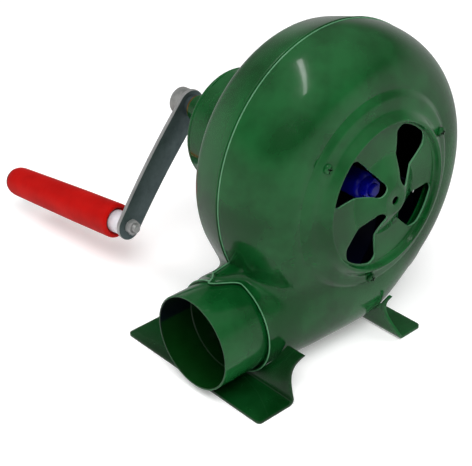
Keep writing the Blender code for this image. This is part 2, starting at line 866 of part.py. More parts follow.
def gear_housing():
    seat = BACK_FACE + FIT
    base = turned(
        "gearbox_base",
        [
            (8.2 * MM, 30 * MM),
            (13 * MM, 30 * MM),
            (13 * MM, seat),
            (BASE_RADIUS, seat),
            (BASE_RADIUS, 38.8 * MM),
            (DRUM_INSIDE - FIT, 38.8 * MM),
            (DRUM_INSIDE - FIT, 42 * MM),
            (37.9 * MM, 42 * MM),
            (37.9 * MM, 39.6 * MM),
            (14 * MM, 39.6 * MM),
            (12 * MM, 46 * MM),
            (8.2 * MM, 46 * MM),
        ],
        SHAFT,
        "green_enamel",
        34,
    )
    axle_spot = (0, CENTRE_DISTANCE, 0)
    axle_boss = bar_cutter("base_axle_boss", SHAFT, 6.2 * MM, 38 * MM, 48 * MM, axle_spot, 20)
    boolean(base, axle_boss, "UNION")
    drill(base, "base_axle_bore", PINION_BORE, 36 * MM, 50 * MM, axle_spot)
    drill_circle(base, "base_flange_bore", BASE_SCREW_CIRCLE, BASE_SCREW_ANGLES, 30 * MM, 42 * MM)
    drill_circle(base, "base_tie_bore", GEAR_SCREW_CIRCLE, GEAR_SCREW_ANGLES, 30 * MM, 42 * MM)
    turned(
        "gearbox_drum",
        square_ring(DRUM_INSIDE, DRUM_RADIUS, 39.1 * MM, DRUM_BACK),
        SHAFT,
        "green_enamel",
        40,
    )
    rim = DRUM_BACK + FIT
    cover = turned(
        "gearbox_cover",
        [
            (38.6 * MM, rim - 2.8 * MM),
            (DRUM_INSIDE - FIT, rim - 2.8 * MM),
            (DRUM_INSIDE - FIT, rim),
            (DRUM_RADIUS, rim),
            (DRUM_RADIUS, rim + 1.9 * MM),
            (DRUM_RADIUS - 1 * MM, rim + 2.9 * MM),
            (31 * MM, rim + 2.9 * MM),
            (12.4 * MM, 111 * MM),
            (10.4 * MM, 114.5 * MM),
            (10.4 * MM, BOSS_END - 0.8 * MM),
            (9.6 * MM, BOSS_END),
            (7.9 * MM, BOSS_END),
            (7.9 * MM, 101 * MM),
            (29 * MM, rim),
            (38.6 * MM, rim),
        ],
        SHAFT,
        "green_enamel",
        34,
    )
    axle_boss = bar_cutter("cover_axle_boss", SHAFT, 6.2 * MM, 83 * MM, 93 * MM, axle_spot, 20)
    boolean(cover, axle_boss, "UNION")
    drill(cover, "cover_axle_bore", PINION_BORE, 80 * MM, 91.4 * MM, axle_spot)
    drill_circle(cover, "cover_tie_bore", GEAR_SCREW_CIRCLE, GEAR_SCREW_ANGLES, 84 * MM, 96 * MM)
    turned(
        "crank_bush",
        [
            (CRANK_SHAFT_RADIUS + FIT, 102.5 * MM),
            (7.6 * MM, 102.5 * MM),
            (7.6 * MM, BOSS_END + FIT),
            (9.2 * MM, BOSS_END + FIT),
            (9.2 * MM, BOSS_END + 2 * MM),
            (CRANK_SHAFT_RADIUS + FIT, BOSS_END + 2 * MM),
        ],
        SHAFT,
        "bronze",
        20,
    )
    for i, angle in enumerate(BASE_SCREW_ANGLES, 1):
        pan_screw(f"base_screw_{i}", 39.1 * MM, 29 * MM, angle, BASE_SCREW_CIRCLE, 2.7 * MM, 2 * MM, 1)
    for i, angle in enumerate(GEAR_SCREW_ANGLES, 1):
        pan_screw(f"tie_screw_{i}", rim + 3.2 * MM, 37 * MM, angle, GEAR_SCREW_CIRCLE, 3 * MM, 2 * MM, 1)


# Crank


def arm_outline():
    """A flat bar that narrows from its hub to its outer end, with both ends round."""
    hub = ARM_HUB_WIDTH / 2
    end = ARM_END_WIDTH / 2
    lean = math.asin((hub - end) / CRANK_THROW)
    steps = 14
    outer = [
        (CRANK_THROW + end * math.cos(a), end * math.sin(a))
        for a in (-(QUARTER - lean) + (math.pi - 2 * lean) * i / steps for i in range(steps + 1))
    ]
    inner = [
        (hub * math.cos(a), hub * math.sin(a))
        for a in (QUARTER - lean + (math.pi + 2 * lean) * i / steps for i in range(steps + 1))
    ]
    return outer + inner


def crank_arm():
    holes = [
        circle(CRANK_SHAFT_RADIUS + FIT, 24),
        circle(BOLT_RADIUS + FIT, 20, (CRANK_THROW, 0)),
    ]
    bar = plate(
        "crank_arm",
        [arm_outline(), *holes],
        ARM_Y - ARM_SHEET / 2,
        ARM_Y + ARM_SHEET / 2,
        CRANK,
        "dark_steel",
    )
    bar = to_mesh(bar)
    bm = bmesh.new()
    bm.from_mesh(bar.data)
    start, finish = ARM_BOW
    facets = 6
    for i in range(facets + 1):
        x = start + (finish - start) * i / facets
        everything = [*bm.verts, *bm.edges, *bm.faces]
        bmesh.ops.bisect_plane(bm, geom=everything, plane_co=(x, 0, 0), plane_no=(1, 0, 0))
    for vertex in bm.verts:
        vertex.co.z += arm_set(vertex.co.x)
    bm.to_mesh(bar.data)
    bm.free()


def crank():
    shaft_front = 64 * MM
    collar_front = 74.3 * MM
    collar_back = 80 * MM
    collar = CRANK_SHAFT_RADIUS + 2.2 * MM
    end = ARM_Y + 10 * MM
    turned(
        "crank_shaft",
        [
            (0, shaft_front),
            (CRANK_SHAFT_RADIUS - 0.6 * MM, shaft_front),
            (CRANK_SHAFT_RADIUS, shaft_front + 0.6 * MM),
            (CRANK_SHAFT_RADIUS, collar_front),
            (collar, collar_front),
            (collar, collar_back),
            (CRANK_SHAFT_RADIUS, collar_back),
            (CRANK_SHAFT_RADIUS, end - 0.6 * MM),
            (CRANK_SHAFT_RADIUS - 0.6 * MM, end),
            (0, end),
        ],
        CRANK,
        "bright_steel",
        20,
    )
    crank_arm()
    arm_front = ARM_Y - ARM_SHEET / 2 - FIT
    arm_back = ARM_Y + ARM_SHEET / 2 + FIT
    turned(
        "crank_spacer",
        bevelled_ring(CRANK_SHAFT_RADIUS + FIT, 8 * MM, BOSS_END + 2.3 * MM, arm_front, 0.4 * MM),
        CRANK,
        "dark_steel",
        20,
    )
    turned(
        "crank_boss",
        bevelled_ring(CRANK_SHAFT_RADIUS + FIT, 10.3 * MM, arm_back, arm_back + 9.6 * MM, 0.7 * MM),
        CRANK,
        "bright_steel",
        28,
    )


def grip():
    face = ARM_SHEET / 2 + FIT
    bore = BOLT_RADIUS + FIT
    end = GRIP_START + GRIP_LENGTH
    recess = 2.5 * MM
    head_seat = end - 12 * MM
    well = 6.6 * MM
    plate(
        "grip_nut",
        [circle(5.77 * MM, 6, phase=0.3), circle(bore, 20)],
        -face - 5 * MM,
        -face,
        PIN,
        "bright_steel",
    )
    turned(
        "grip_bolt",
        [
            (0, -face - 8 * MM),
            (BOLT_RADIUS - 0.7 * MM, -face - 8 * MM),
            (BOLT_RADIUS, -face - 7.3 * MM),
            (BOLT_RADIUS, head_seat + FIT),
            (5.2 * MM, head_seat + FIT),
            (5.2 * MM, head_seat + 3.3 * MM),
            (4.4 * MM, head_seat + 4.3 * MM),
            (0, head_seat + 4.3 * MM),
        ],
        PIN,
        "bright_steel",
        16,
    )
    turned(
        "grip_collar",
        bevelled_ring(bore, 8.4 * MM, face, GRIP_START + recess - FIT, 0.6 * MM),
        PIN,
        "white_plastic",
        24,
    )
    straight = end - 9 * MM
    turned(
        "grip",
        [
            (bore, GRIP_START + recess),
            (9.4 * MM, GRIP_START + recess),
            (10.2 * MM, GRIP_START),
            (GRIP_RADIUS_NEAR - 1 * MM, GRIP_START),
            (GRIP_RADIUS_NEAR, GRIP_START + 1.5 * MM),
            (GRIP_RADIUS_FAR, straight),
            (GRIP_RADIUS_FAR - 0.5 * MM, straight + 3.4 * MM),
            (GRIP_RADIUS_FAR - 1.8 * MM, straight + 6.6 * MM),
            (GRIP_RADIUS_FAR - 3.6 * MM, straight + 8.5 * MM),
            (well, end),
            (well, head_seat),
            (bore, head_seat),
        ],
        PIN,
        "red_plastic",
        32,
    )


housing()
sleeve()
inlet_cover()
feet()
fan()
gear_train()
gear_housing()
crank()
grip()
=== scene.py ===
"""Looks of a hand-crank centrifugal blower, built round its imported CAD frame.

Lengths in this file are millimetres in the shaft frame: x to the right, y back from the seam
between the two housing halves, z up from the ground. make_mesh() turns them into row metres.
"""

import json
import math

import bmesh
import bpy
import numpy as np
from mathutils import Matrix, Vector


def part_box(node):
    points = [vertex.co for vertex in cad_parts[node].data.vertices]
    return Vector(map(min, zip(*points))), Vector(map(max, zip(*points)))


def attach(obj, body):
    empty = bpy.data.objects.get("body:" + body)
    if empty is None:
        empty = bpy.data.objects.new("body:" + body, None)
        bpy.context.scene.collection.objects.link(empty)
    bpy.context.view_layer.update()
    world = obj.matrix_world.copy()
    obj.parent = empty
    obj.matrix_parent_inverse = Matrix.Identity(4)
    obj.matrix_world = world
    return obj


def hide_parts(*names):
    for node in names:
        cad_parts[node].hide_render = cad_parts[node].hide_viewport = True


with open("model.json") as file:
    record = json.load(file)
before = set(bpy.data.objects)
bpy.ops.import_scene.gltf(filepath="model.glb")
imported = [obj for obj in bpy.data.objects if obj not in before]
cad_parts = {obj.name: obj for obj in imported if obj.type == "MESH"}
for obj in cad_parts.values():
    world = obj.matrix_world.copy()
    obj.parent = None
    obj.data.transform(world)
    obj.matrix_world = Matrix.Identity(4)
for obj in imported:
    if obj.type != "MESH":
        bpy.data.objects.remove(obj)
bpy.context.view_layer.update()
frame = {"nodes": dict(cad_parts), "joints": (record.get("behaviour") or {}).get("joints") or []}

MM = 0.001
FULL = 2 * math.pi
QUARTER = math.pi / 2

JOINTS = {joint["name"]: joint for joint in frame["joints"]}
SHAFT = JOINTS["crank_turn"]["pos_m"]
SEAM_GAP = 0.4
ORIGIN = Vector((SHAFT[0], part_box("back_shell")[0].y - SEAM_GAP * MM, 0))
SHAFT_HEIGHT = SHAFT[2] / MM

# Housing
TONGUE_ANGLE = math.radians(205)
BOTTOM_ANGLE = math.radians(-90)
TONGUE_RADIUS = 92.6
SPIRAL_GROWTH = 16.9
SEAM_INSET = 0.8
FRONT_DEPTH = 44
FRONT_FACE_RADIUS = 67
DOME_FULLNESS = 2.1
BAND_BACK = 28
BAND_TAPER = 6.4
BACK_FACE = 36
SHEET = 1.2
FRONT_SEAM_Y = -0.35
BACK_SEAM_Y = 1.5
FRONT_LIP_X = -88
BACK_LIP_X = -100
LIP_TONGUE = 15
NECK_STATIONS = (
    (-106, 33.8, 33.8, 37.5, -5, 2.0),
    (-88, 33.8, 33.8, 37.5, -5, 2.0),
    (-68, 35.6, 35.2, 39.2, -5.8, 2.15),
    (-45, 36.8, 37, 41.2, -6.4, 2.35),
    (-10, 37, 38, 42.4, -6.4, 2.45),
    (16, 36, 37, 43, -6.4, 2.4),
    (46, 27, 30, 50, -8, 2.2),
)
NECK_CENTRE = (-5, 37.5)
NECK_OPEN_X = -104
NECK_END_X = 46
NECK_CUT_TOP = 78
NECK_CUT_X = -60
NECK_SIDES = 48
VOXEL = 1.8

# Drum
DRUM_RADIUS = 41.7
DRUM_INSIDE = 40.4
DRUM_BACK = 88.3

# Inlet cover
PLATE_FACE = -48.3
PETAL_ANGLES = (57, 151, 242, 331)
PETAL_SWING = math.radians(15)

# Fan
BLADES = 6
BLADE_INNER = 27
BLADE_OUTER = 74.5
BLADE_SWEEP = math.radians(-38)
BLADE_CURVE = 1.3
FIRST_BLADE_TURN = math.radians(172)

# Crank
CRANK_ANGLE = math.radians(-132.1)
CRANK_THROW = 98
ARM_Y = 136.5
ARM_SHEET = 3
GRIP_SPLAY = math.radians(6.2)
ARM_BOW = (20, 88)
GRIP_START = 12
GRIP_END = 137


# Materials


def new_material(name):
    material = bpy.data.materials.new(name)
    material.use_nodes = True
    tree = material.node_tree
    shader = tree.nodes["Principled BSDF"]
    return material, tree, shader


def node(tree, kind, **settings):
    made = tree.nodes.new(kind)
    for key, value in settings.items():
        setattr(made, key, value)
    return made


def noise(tree, scale, detail=3.0, roughness=0.5, stretch=None):
    coords = node(tree, "ShaderNodeTexCoord")
    made = node(tree, "ShaderNodeTexNoise")
    made.inputs["Scale"].default_value = scale
    made.inputs["Detail"].default_value = detail
    made.inputs["Roughness"].default_value = roughness
    if stretch:
        mapping = node(tree, "ShaderNodeMapping")
        mapping.inputs["Scale"].default_value = stretch
        tree.links.new(coords.outputs["Object"], mapping.inputs["Vector"])
        tree.links.new(mapping.outputs["Vector"], made.inputs["Vector"])
    else:
        tree.links.new(coords.outputs["Object"], made.inputs["Vector"])
    return made.outputs["Fac"]


def ramp(tree, value, stops):
    made = node(tree, "ShaderNodeValToRGB")
    elements = made.color_ramp.elements
    while len(elements) < len(stops):
        elements.new(0.5)
    for element, (position, colour) in zip(elements, stops):
        element.position = position
        element.color = (*colour, 1) if len(colour) == 3 else colour
    tree.links.new(value, made.inputs["Fac"])
    return made.outputs["Color"]


def spread(tree, value, low, high):
    made = node(tree, "ShaderNodeMapRange")
    made.inputs["From Min"].default_value = 0.3
    made.inputs["From Max"].default_value = 0.7
    made.inputs["To Min"].default_value = low
    made.inputs["To Max"].default_value = high
    tree.links.new(value, made.inputs["Value"])
    return made.outputs["Result"]


def bump(tree, value, strength, distance, before=None):
    made = node(tree, "ShaderNodeBump")
    made.inputs["Strength"].default_value = strength
    made.inputs["Distance"].default_value = distance
    tree.links.new(value, made.inputs["Height"])
    if before:
        tree.links.new(before, made.inputs["Normal"])
    return made.outputs["Normal"]


def mix(tree, factor, first, second):
    made = node(tree, "ShaderNodeMix", data_type="RGBA")
    tree.links.new(factor, made.inputs["Factor"])
    for source, socket in ((first, made.inputs["A"]), (second, made.inputs["B"])):
        if isinstance(source, tuple):
            socket.default_value = (*source, 1)
        else:
            tree.links.new(source, socket)
    return made.outputs["Result"]


def enamel(name, dark, light, roughness, coat=0.6):
    """Glossy paint on sheet steel: a slightly clouded colour, orange peel and a wavy sheet."""
    material, tree, shader = new_material(name)
    clouds = noise(tree, 22, 4, 0.55)
    fine = noise(tree, 420, 2, 0.5)
    waves = noise(tree, 11, 1, 0.4)
    colour = ramp(tree, clouds, [(0.4, dark), (0.6, light)])
    tree.links.new(colour, shader.inputs["Base Color"])
    scuffs = noise(tree, 75, 6, 0.7)
    tree.links.new(spread(tree, scuffs, roughness - 0.05, roughness + 0.09), shader.inputs["Roughness"])
    shader.inputs["Coat Weight"].default_value = coat
    shader.inputs["Coat Roughness"].default_value = 0.05
    shader.inputs["Specular IOR Level"].default_value = 0.5
    normal = bump(tree, waves, 0.6, 0.0035)
    normal = bump(tree, fine, 0.004, 0.0002, normal)
    tree.links.new(normal, shader.inputs["Normal"])
    return material


def steel(name, dark, light, roughness, metallic=1.0, pitting=(380, 4, 0.65), pits=0.25):
    """Bare or plated metal: faint stains and small pits, whose noise pitting sets."""
    material, tree, shader = new_material(name)
    stains = noise(tree, 60, 5, 0.6)
    lines = noise(tree, *pitting)
    colour = ramp(tree, stains, [(0.35, dark), (0.68, light)])
    shade = mix(tree, spread(tree, lines, 0.0, 0.28), colour, dark)
    tree.links.new(shade, shader.inputs["Base Color"])
    shader.inputs["Metallic"].default_value = metallic
    tree.links.new(spread(tree, lines, roughness - 0.08, roughness + 0.12), shader.inputs["Roughness"])
    tree.links.new(bump(tree, lines, pits, 0.00015), shader.inputs["Normal"])
    return material


def plastic(name, dark, light, roughness, texture=0.2, specular=0.5):
    """Moulded plastic with a fine surface texture and faint scuffs."""
    material, tree, shader = new_material(name)
    clouds = noise(tree, 35, 3, 0.6)
    grain = noise(tree, 900, 3, 0.6)
    scuffs = noise(tree, 130, 6, 0.75, (1, 6, 1))
    colour = ramp(tree, clouds, [(0.34, dark), (0.64, light)])
    tree.links.new(colour, shader.inputs["Base Color"])
    tree.links.new(spread(tree, scuffs, roughness - 0.06, roughness + 0.12), shader.inputs["Roughness"])
    shader.inputs["Specular IOR Level"].default_value = specular
    normal = bump(tree, scuffs, 0.08, 0.0002)
    normal = bump(tree, grain, texture, 0.0001, normal)
    tree.links.new(normal, shader.inputs["Normal"])
    return material


GREEN = enamel("green_paint", (0.0012, 0.046, 0.0075), (0.006, 0.086, 0.019), 0.17, 0.5)
# A darker copy of the green paint: painted shade on the nozzle foot.
SHADED_FOOT_GREEN = enamel("green_paint_painted_foot_shade", (0.0008, 0.026, 0.0035), (0.003, 0.048, 0.009), 0.2, 0.4)
# A much lighter green: painted highlights on the lip and front seam beads and on the petal edges of the
# inlet cover.
GREEN_EDGE_HIGHLIGHT = enamel("green_paint_painted_edge_highlight", (0.075, 0.22, 0.11), (0.11, 0.28, 0.15), 0.24)
# A darker copy of the green paint: painted shade on the lower inside of the outlet sleeve.
GREEN_INSIDE_SHADE = enamel("green_paint_painted_inside_shade", (0.001, 0.02, 0.002), (0.002, 0.032, 0.004), 0.32, 0.2)
# Near black: painted shade on the inner faces of the housing shells.
INSIDE_SHADE = enamel("near_black_painted_shade", (0.0012, 0.0016, 0.0022), (0.003, 0.0035, 0.005), 0.5, 0.0)
# Near black navy: painted shade on the upper inside of the outlet sleeve.
MOUTH_SHADE = enamel("painted_mouth_shade", (0.001, 0.003, 0.006), (0.002, 0.006, 0.01), 0.35, 0.2)
BLUE = enamel("blue_paint", (0.001, 0.001, 0.24), (0.003, 0.004, 0.36), 0.3, 0.2)
# Near black blue: painted shade on the fan blades and disc inside the housing; the hub keeps the bright
# blue.
SHADED_BLADE_BLUE = enamel("blue_paint_painted_shade", (0.001, 0.0015, 0.006), (0.002, 0.003, 0.014), 0.34, 0.2)
SLATE = steel("slate_plating", (0.12, 0.165, 0.172), (0.19, 0.25, 0.255), 0.42, 0.85, (260, 4, 0.6))
BRIGHT = steel("bare_steel", (0.5, 0.5, 0.5), (0.74, 0.74, 0.73), 0.36, 0.75)
CAST = steel("turned_cast_steel", (0.26, 0.27, 0.26), (0.62, 0.62, 0.6), 0.5, 0.6, pits=0.7)
BRONZE = steel("bearing_bronze", (0.32, 0.16, 0.05), (0.62, 0.36, 0.13), 0.34)
GEAR = steel("gear_steel", (0.05, 0.05, 0.052), (0.14, 0.14, 0.14), 0.42)
RED = plastic("red_grip", (0.4, 0.0025, 0.0015), (0.52, 0.005, 0.003), 0.5, 0.3, 0.12)
# A darker copy of the red: painted shade on the grip's free end and in its bore.
RED_SHADED_END = plastic("red_grip_painted_shade", (0.1, 0.004, 0.004), (0.17, 0.008, 0.008), 0.6, 0.3, 0.25)
WHITE = plastic("white_collar", (0.6, 0.57, 0.62), (0.74, 0.72, 0.75), 0.45, 0.15)
# Near black: painted shade in the screw slots.
SLOT_SHADE = steel("painted_slot_shade", (0.008, 0.01, 0.009), (0.02, 0.024, 0.02), 0.6)


# Mesh helpers


def to_row(points):
    """Shaft-frame millimetres to row metres."""
    return np.asarray(points, float) * MM + np.array(ORIGIN)


def make_mesh(name, points, faces, smooth_angle=40):
    data = bpy.data.meshes.new(name)
    data.from_pydata([tuple(p) for p in to_row(points)], [], faces)
    data.validate()
    finish_mesh(data, smooth_angle)
    return data


def finish_mesh(data, smooth_angle=40):
    bm = bmesh.new()
    bm.from_mesh(data)
    bmesh.ops.remove_doubles(bm, verts=bm.verts, dist=1e-7)
    bmesh.ops.recalc_face_normals(bm, faces=bm.faces)
    bm.to_mesh(data)
    bm.free()
    data.shade_smooth()
    data.set_sharp_from_angle(angle=math.radians(smooth_angle))


def piece(name, data, materials, body, replaced=()):
    """A visible piece: its mesh, materials, body and the CAD nodes it stands for."""
    obj = bpy.data.objects.new(name, data)
    bpy.context.scene.collection.objects.link(obj)
    for material in materials:
        data.materials.append(material)
    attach(obj, body)
    if replaced:
        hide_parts(*replaced)
    return obj


def apply_modifiers(obj):
    bpy.context.view_layer.update()
    graph = bpy.context.evaluated_depsgraph_get()
    data = bpy.data.meshes.new_from_object(obj.evaluated_get(graph))
    old = obj.data
    obj.modifiers.clear()
    obj.data = data
    bpy.data.meshes.remove(old)


def rounded(points, radius, closed=True, segments=4):
    """The profile with each real corner replaced by a short curve."""
    made = []
    count = len(points)
    for i, point in enumerate(points):
        corner = Vector(point)
        before = Vector(points[i - 1]) - corner
        after = Vector(points[(i + 1) % count]) - corner
        end = not closed and i in (0, count - 1)
        if end or before.angle(after) > math.radians(168):
            made.append(tuple(corner))
            continue
        cut = min(radius, 0.45 * before.length, 0.45 * after.length)
        start = corner + before.normalized() * cut
        finish = corner + after.normalized() * cut
        for k in range(segments + 1):
            t = k / segments
            made.append(tuple(start * (1 - t) ** 2 + corner * 2 * t * (1 - t) + finish * t * t))
    return made


def revolve(profile, steps=96, closed=True, radius_at=None):
    """Points and faces of a (radius, back) profile turned about the y axis through the origin."""
    points = []
    for i in range(steps):
        angle = FULL * i / steps
        for radius, back in profile:
            r = radius_at(radius, angle) if radius_at else radius
            points.append((r * math.cos(angle), back, r * math.sin(angle)))
    faces = []
    n = len(profile)
    last = n if closed else n - 1
    for i in range(steps):
        j = (i + 1) % steps
        for k in range(last):
            m = (k + 1) % n
            faces.append((i * n + k, i * n + m, j * n + m, j * n + k))
    return np.array(points), faces


def drop_flat(points, faces):
    """Leaves out faces that a point on the axis makes into lines."""
    keep = []
    for face in faces:
        corners = []
        for index in face:
            spot = tuple(np.round(points[index], 6))
            if spot not in [c[0] for c in corners]:
                corners.append((spot, index))
        if len(corners) > 2:
            keep.append(tuple(index for _, index in corners))
    return keep


def turned(name, profile, material, body, replaced, steps=96, closed=True, bevel=0.4,
           matrix=None, radius_at=None, smooth_angle=40):
    """A turned piece about the shaft, or about the y axis of a matrix."""
    points, faces = revolve(rounded(profile, bevel, closed), steps, closed, radius_at)
    faces = drop_flat(points, faces)
    if matrix is not None:
        points = np.array([matrix @ Vector(p) for p in points])
    else:
        points = points + np.array((0, 0, SHAFT_HEIGHT))
    data = make_mesh(name, points, faces, smooth_angle)
    return piece(name, data, [material], body, replaced)


# Housing shells as level sets


def smooth_step(t):
    t = np.clip(t, 0, 1)
    return t * t * (3 - 2 * t)


def spiral_radius(angle):
    turned_by = np.mod(TONGUE_ANGLE - angle, FULL)
    growing = TONGUE_ANGLE - BOTTOM_ANGLE
    falling = smooth_step((turned_by - growing) / (FULL - growing))
    rising = TONGUE_RADIUS + SPIRAL_GROWTH * turned_by / growing
    return np.where(turned_by <= growing, rising, TONGUE_RADIUS + SPIRAL_GROWTH * (1 - falling))


def smooth_max(a, b, size):
    h = np.clip(0.5 + 0.5 * (a - b) / size, 0, 1)
    return b * (1 - h) + a * h + size * h * (1 - h)


def smooth_min(a, b, size):
    return -smooth_max(-a, -b, size)


def along(x, column):
    """A neck dimension at x, eased between its stations."""
    places = np.array([row[0] for row in NECK_STATIONS], float)
    values = np.array([row[column] for row in NECK_STATIONS], float)
    slopes = np.gradient(values, places)
    i = np.clip(np.searchsorted(places, x) - 1, 0, len(places) - 2)
    span = places[i + 1] - places[i]
    t = np.clip((x - places[i]) / span, 0, 1)
    h00 = (1 + 2 * t) * (1 - t) ** 2
    h10 = t * (1 - t) ** 2
    h01 = t * t * (3 - 2 * t)
    h11 = t * t * (t - 1)
    return h00 * values[i] + h10 * span * slopes[i] + h01 * values[i + 1] + h11 * span * slopes[i + 1]


def neck_field(p):
    """Roughly the distance in millimetres outside the neck, negative inside it."""
    x, y, z = p.T
    width, height, middle, offset, fullness = (along(x, column) for column in range(1, 6))
    flare = 0.9 * smooth_step((-82 - x) / 7) * (x > -94)
    across = np.abs((y - offset) / (width + flare)) ** fullness
    up = np.abs((z - middle) / (height + flare)) ** fullness
    side = ((across + up) ** (1 / fullness) - 1) * 35
    return np.maximum(side, np.maximum(x - NECK_END_X, NECK_OPEN_X - x))


def polar(p):
    x, z = p[:, 0], p[:, 2] - SHAFT_HEIGHT
    return np.hypot(x, z), spiral_radius(np.arctan2(z, x)) - SEAM_INSET


def dome_field(p):
    r, seam = polar(p)
    out = np.maximum(r - FRONT_FACE_RADIUS, 0) / (seam - FRONT_FACE_RADIUS)
    deep = np.abs(p[:, 1]) / FRONT_DEPTH
    return ((out**DOME_FULLNESS + deep**DOME_FULLNESS) ** (1 / DOME_FULLNESS) - 1) * 38


def drum_field(p):
    """The back half: a band that narrows towards the back, a round edge and a nearly flat face."""
    r, seam = polar(p)
    y = p[:, 1]
    side = r - (seam - BAND_TAPER * (np.clip(y, 0, 60) / BAND_BACK) ** 1.3)
    face = y - (BACK_FACE - 4 * smooth_step((r - 50) / 40))
    return np.maximum(smooth_max(side, face, 7), -y - 20)


def front_field(p):
    return smooth_min(dome_field(p), neck_field(p), 9)


def back_field(p):
    return smooth_min(drum_field(p), neck_field(p), 6)


def slope(field, p):
    step = 0.05
    made = np.empty_like(p)
    for axis in range(3):
        shift = np.zeros(3)
        shift[axis] = step
        made[:, axis] = (field(p + shift) - field(p - shift)) / (2 * step)
    return made


def settle(field, p, rounds=6):
    """Moves points along the field's slope onto its zero level."""
    for _ in range(rounds):
        g = slope(field, p)
        step = field(p)[:, None] * g / np.maximum((g * g).sum(1), 1e-6)[:, None]
        length = np.linalg.norm(step, axis=1)[:, None]
        p = p - step * np.minimum(1, 2.5 / np.maximum(length, 1e-9))
    return p


def coarse_body():
    """Two overlapping closed solids, the spiral and the neck, in shaft-frame millimetres."""
    bm = bmesh.new()
    steps = 120
    rings = []
    for i in range(steps):
        angle = TONGUE_ANGLE - FULL * i / steps
        seam = float(spiral_radius(angle)) - SEAM_INSET
        section = (
            (FRONT_FACE_RADIUS, -FRONT_DEPTH), (seam - 8, -30), (seam, 0), (seam - 2, 14),
            (seam - BAND_TAPER, BAND_BACK), (seam - 10, 32), (52, BACK_FACE),
        )
        rings.append([
            bm.verts.new((r * math.cos(angle), y, SHAFT_HEIGHT + r * math.sin(angle)))
            for r, y in section
        ])
    for ring, after in zip(rings, rings[1:] + rings[:1]):
        for i in range(len(ring) - 1):
            bm.faces.new((ring[i], ring[i + 1], after[i + 1], after[i]))
    bm.faces.new([ring[0] for ring in rings])
    bm.faces.new([ring[-1] for ring in rings])
    loops = []
    for x, width, height, middle, offset, _ in NECK_STATIONS:
        loops.append([
            bm.verts.new((x, offset + width * math.cos(a), middle + height * math.sin(a)))
            for a in (FULL * k / NECK_SIDES for k in range(NECK_SIDES))
        ])
    for ring, after in zip(loops, loops[1:]):
        for i in range(NECK_SIDES):
            j = (i + 1) % NECK_SIDES
            bm.faces.new((ring[i], ring[j], after[j], after[i]))
    bm.faces.new(loops[0])
    bm.faces.new(loops[-1])
    bmesh.ops.recalc_face_normals(bm, faces=bm.faces)
    data = bpy.data.meshes.new("coarse_body")
    bm.to_mesh(data)
    bm.free()
    return data


def level_mesh(field):
    """An even quad mesh on the field's zero level, in shaft-frame millimetres."""
    obj = bpy.data.objects.new("level", coarse_body())
    bpy.context.scene.collection.objects.link(obj)
    remesh = obj.modifiers.new("voxels", "REMESH")
    remesh.mode = "VOXEL"
    remesh.voxel_size = VOXEL
    apply_modifiers(obj)
    data = obj.data
    bpy.data.objects.remove(obj)
    points = np.array([v.co for v in data.vertices])
    edges = np.array([e.vertices[:] for e in data.edges])
    points = settle(field, points)
    for _ in range(6):
        total = np.zeros_like(points)
        count = np.zeros(len(points))
        for a, b in (edges.T, edges.T[::-1]):
            np.add.at(total, a, points[b])
            np.add.at(count, a, 1)
        middle = total / count[:, None]
        normal = slope(field, points)
        normal /= np.maximum(np.linalg.norm(normal, axis=1), 1e-9)[:, None]
        move = middle - points
        move -= normal * (move * normal).sum(1)[:, None]
        points = settle(field, points + 0.6 * move, 2)
    data.vertices.foreach_set("co", points.astype(np.float32).ravel())
    bm = bmesh.new()
    bm.from_mesh(data)
    bpy.data.meshes.remove(data)
    return bm


def cut(bm, spot, away, limit=None):
    """Removes what lies beyond a plane, in the faces that limit() picks."""
    faces = [f for f in bm.faces if limit is None or limit(f.calc_center_median())]
    verts = list({v for f in faces for v in f.verts})
    edges = list({e for f in faces for e in f.edges})
    bmesh.ops.bisect_plane(
        bm, geom=verts + edges + faces, plane_co=spot, plane_no=away, clear_outer=True
    )


def bore(bm, radius, near_y):
    """Opens a round hole about the shaft near y = near_y and trims its edge to the circle."""
    def from_shaft(co):
        return math.hypot(co.x, co.z - SHAFT_HEIGHT)

    gone = [
        f for f in bm.faces
        if abs(f.calc_center_median().y - near_y) < 8 and from_shaft(f.calc_center_median()) < radius
    ]
    bmesh.ops.delete(bm, geom=gone, context="FACES")
    for v in bm.verts:
        if v.is_boundary and abs(v.co.y - near_y) < 8 and from_shaft(v.co) < radius + 2 * VOXEL:
            grow = radius / from_shaft(v.co)
            v.co.x *= grow
            v.co.z = SHAFT_HEIGHT + (v.co.z - SHAFT_HEIGHT) * grow


def lip_stretch(p):
    """The front half's neck runs on towards the mouth at its top, next to the seam."""
    x, y, z = p.T
    reach = LIP_TONGUE * smooth_step((y + 15) / 14) * smooth_step((z - 44) / 14)
    near = smooth_step((FRONT_LIP_X + 22 - x) / 22) * (z < NECK_CUT_TOP) * (x < NECK_CUT_X)
    return p - np.stack((reach * near, 0 * x, 0 * x), axis=1)


def edge_path(bm, near):
    """The boundary points that near() picks, in order along the edge."""
    edges = [e for e in bm.edges if e.is_boundary and all(near(v.co) for v in e.verts)]
    links = {}
    for e in edges:
        a, b = e.verts
        links.setdefault(a, []).append(b)
        links.setdefault(b, []).append(a)
    ends = [v for v, others in links.items() if len(others) == 1]
    start = ends[0] if ends else next(iter(links))
    path = [start]
    seen = {start}
    while True:
        onward = [v for v in links[path[-1]] if v not in seen]
        if not onward:
            break
        path.append(onward[0])
        seen.add(onward[0])
    return np.array([v.co for v in path])


def even(path, gap):
    """The path resampled to about even steps and lightly smoothed."""
    lengths = np.concatenate(([0], np.cumsum(np.linalg.norm(np.diff(path, axis=0), axis=1))))
    count = max(int(lengths[-1] / gap), 8)
    spots = np.linspace(0, lengths[-1], count + 1)
    made = np.stack([np.interp(spots, lengths, path[:, k]) for k in range(3)], axis=1)
    for _ in range(4):
        made[1:-1] = 0.5 * made[1:-1] + 0.25 * (made[:-2] + made[2:])
    return made


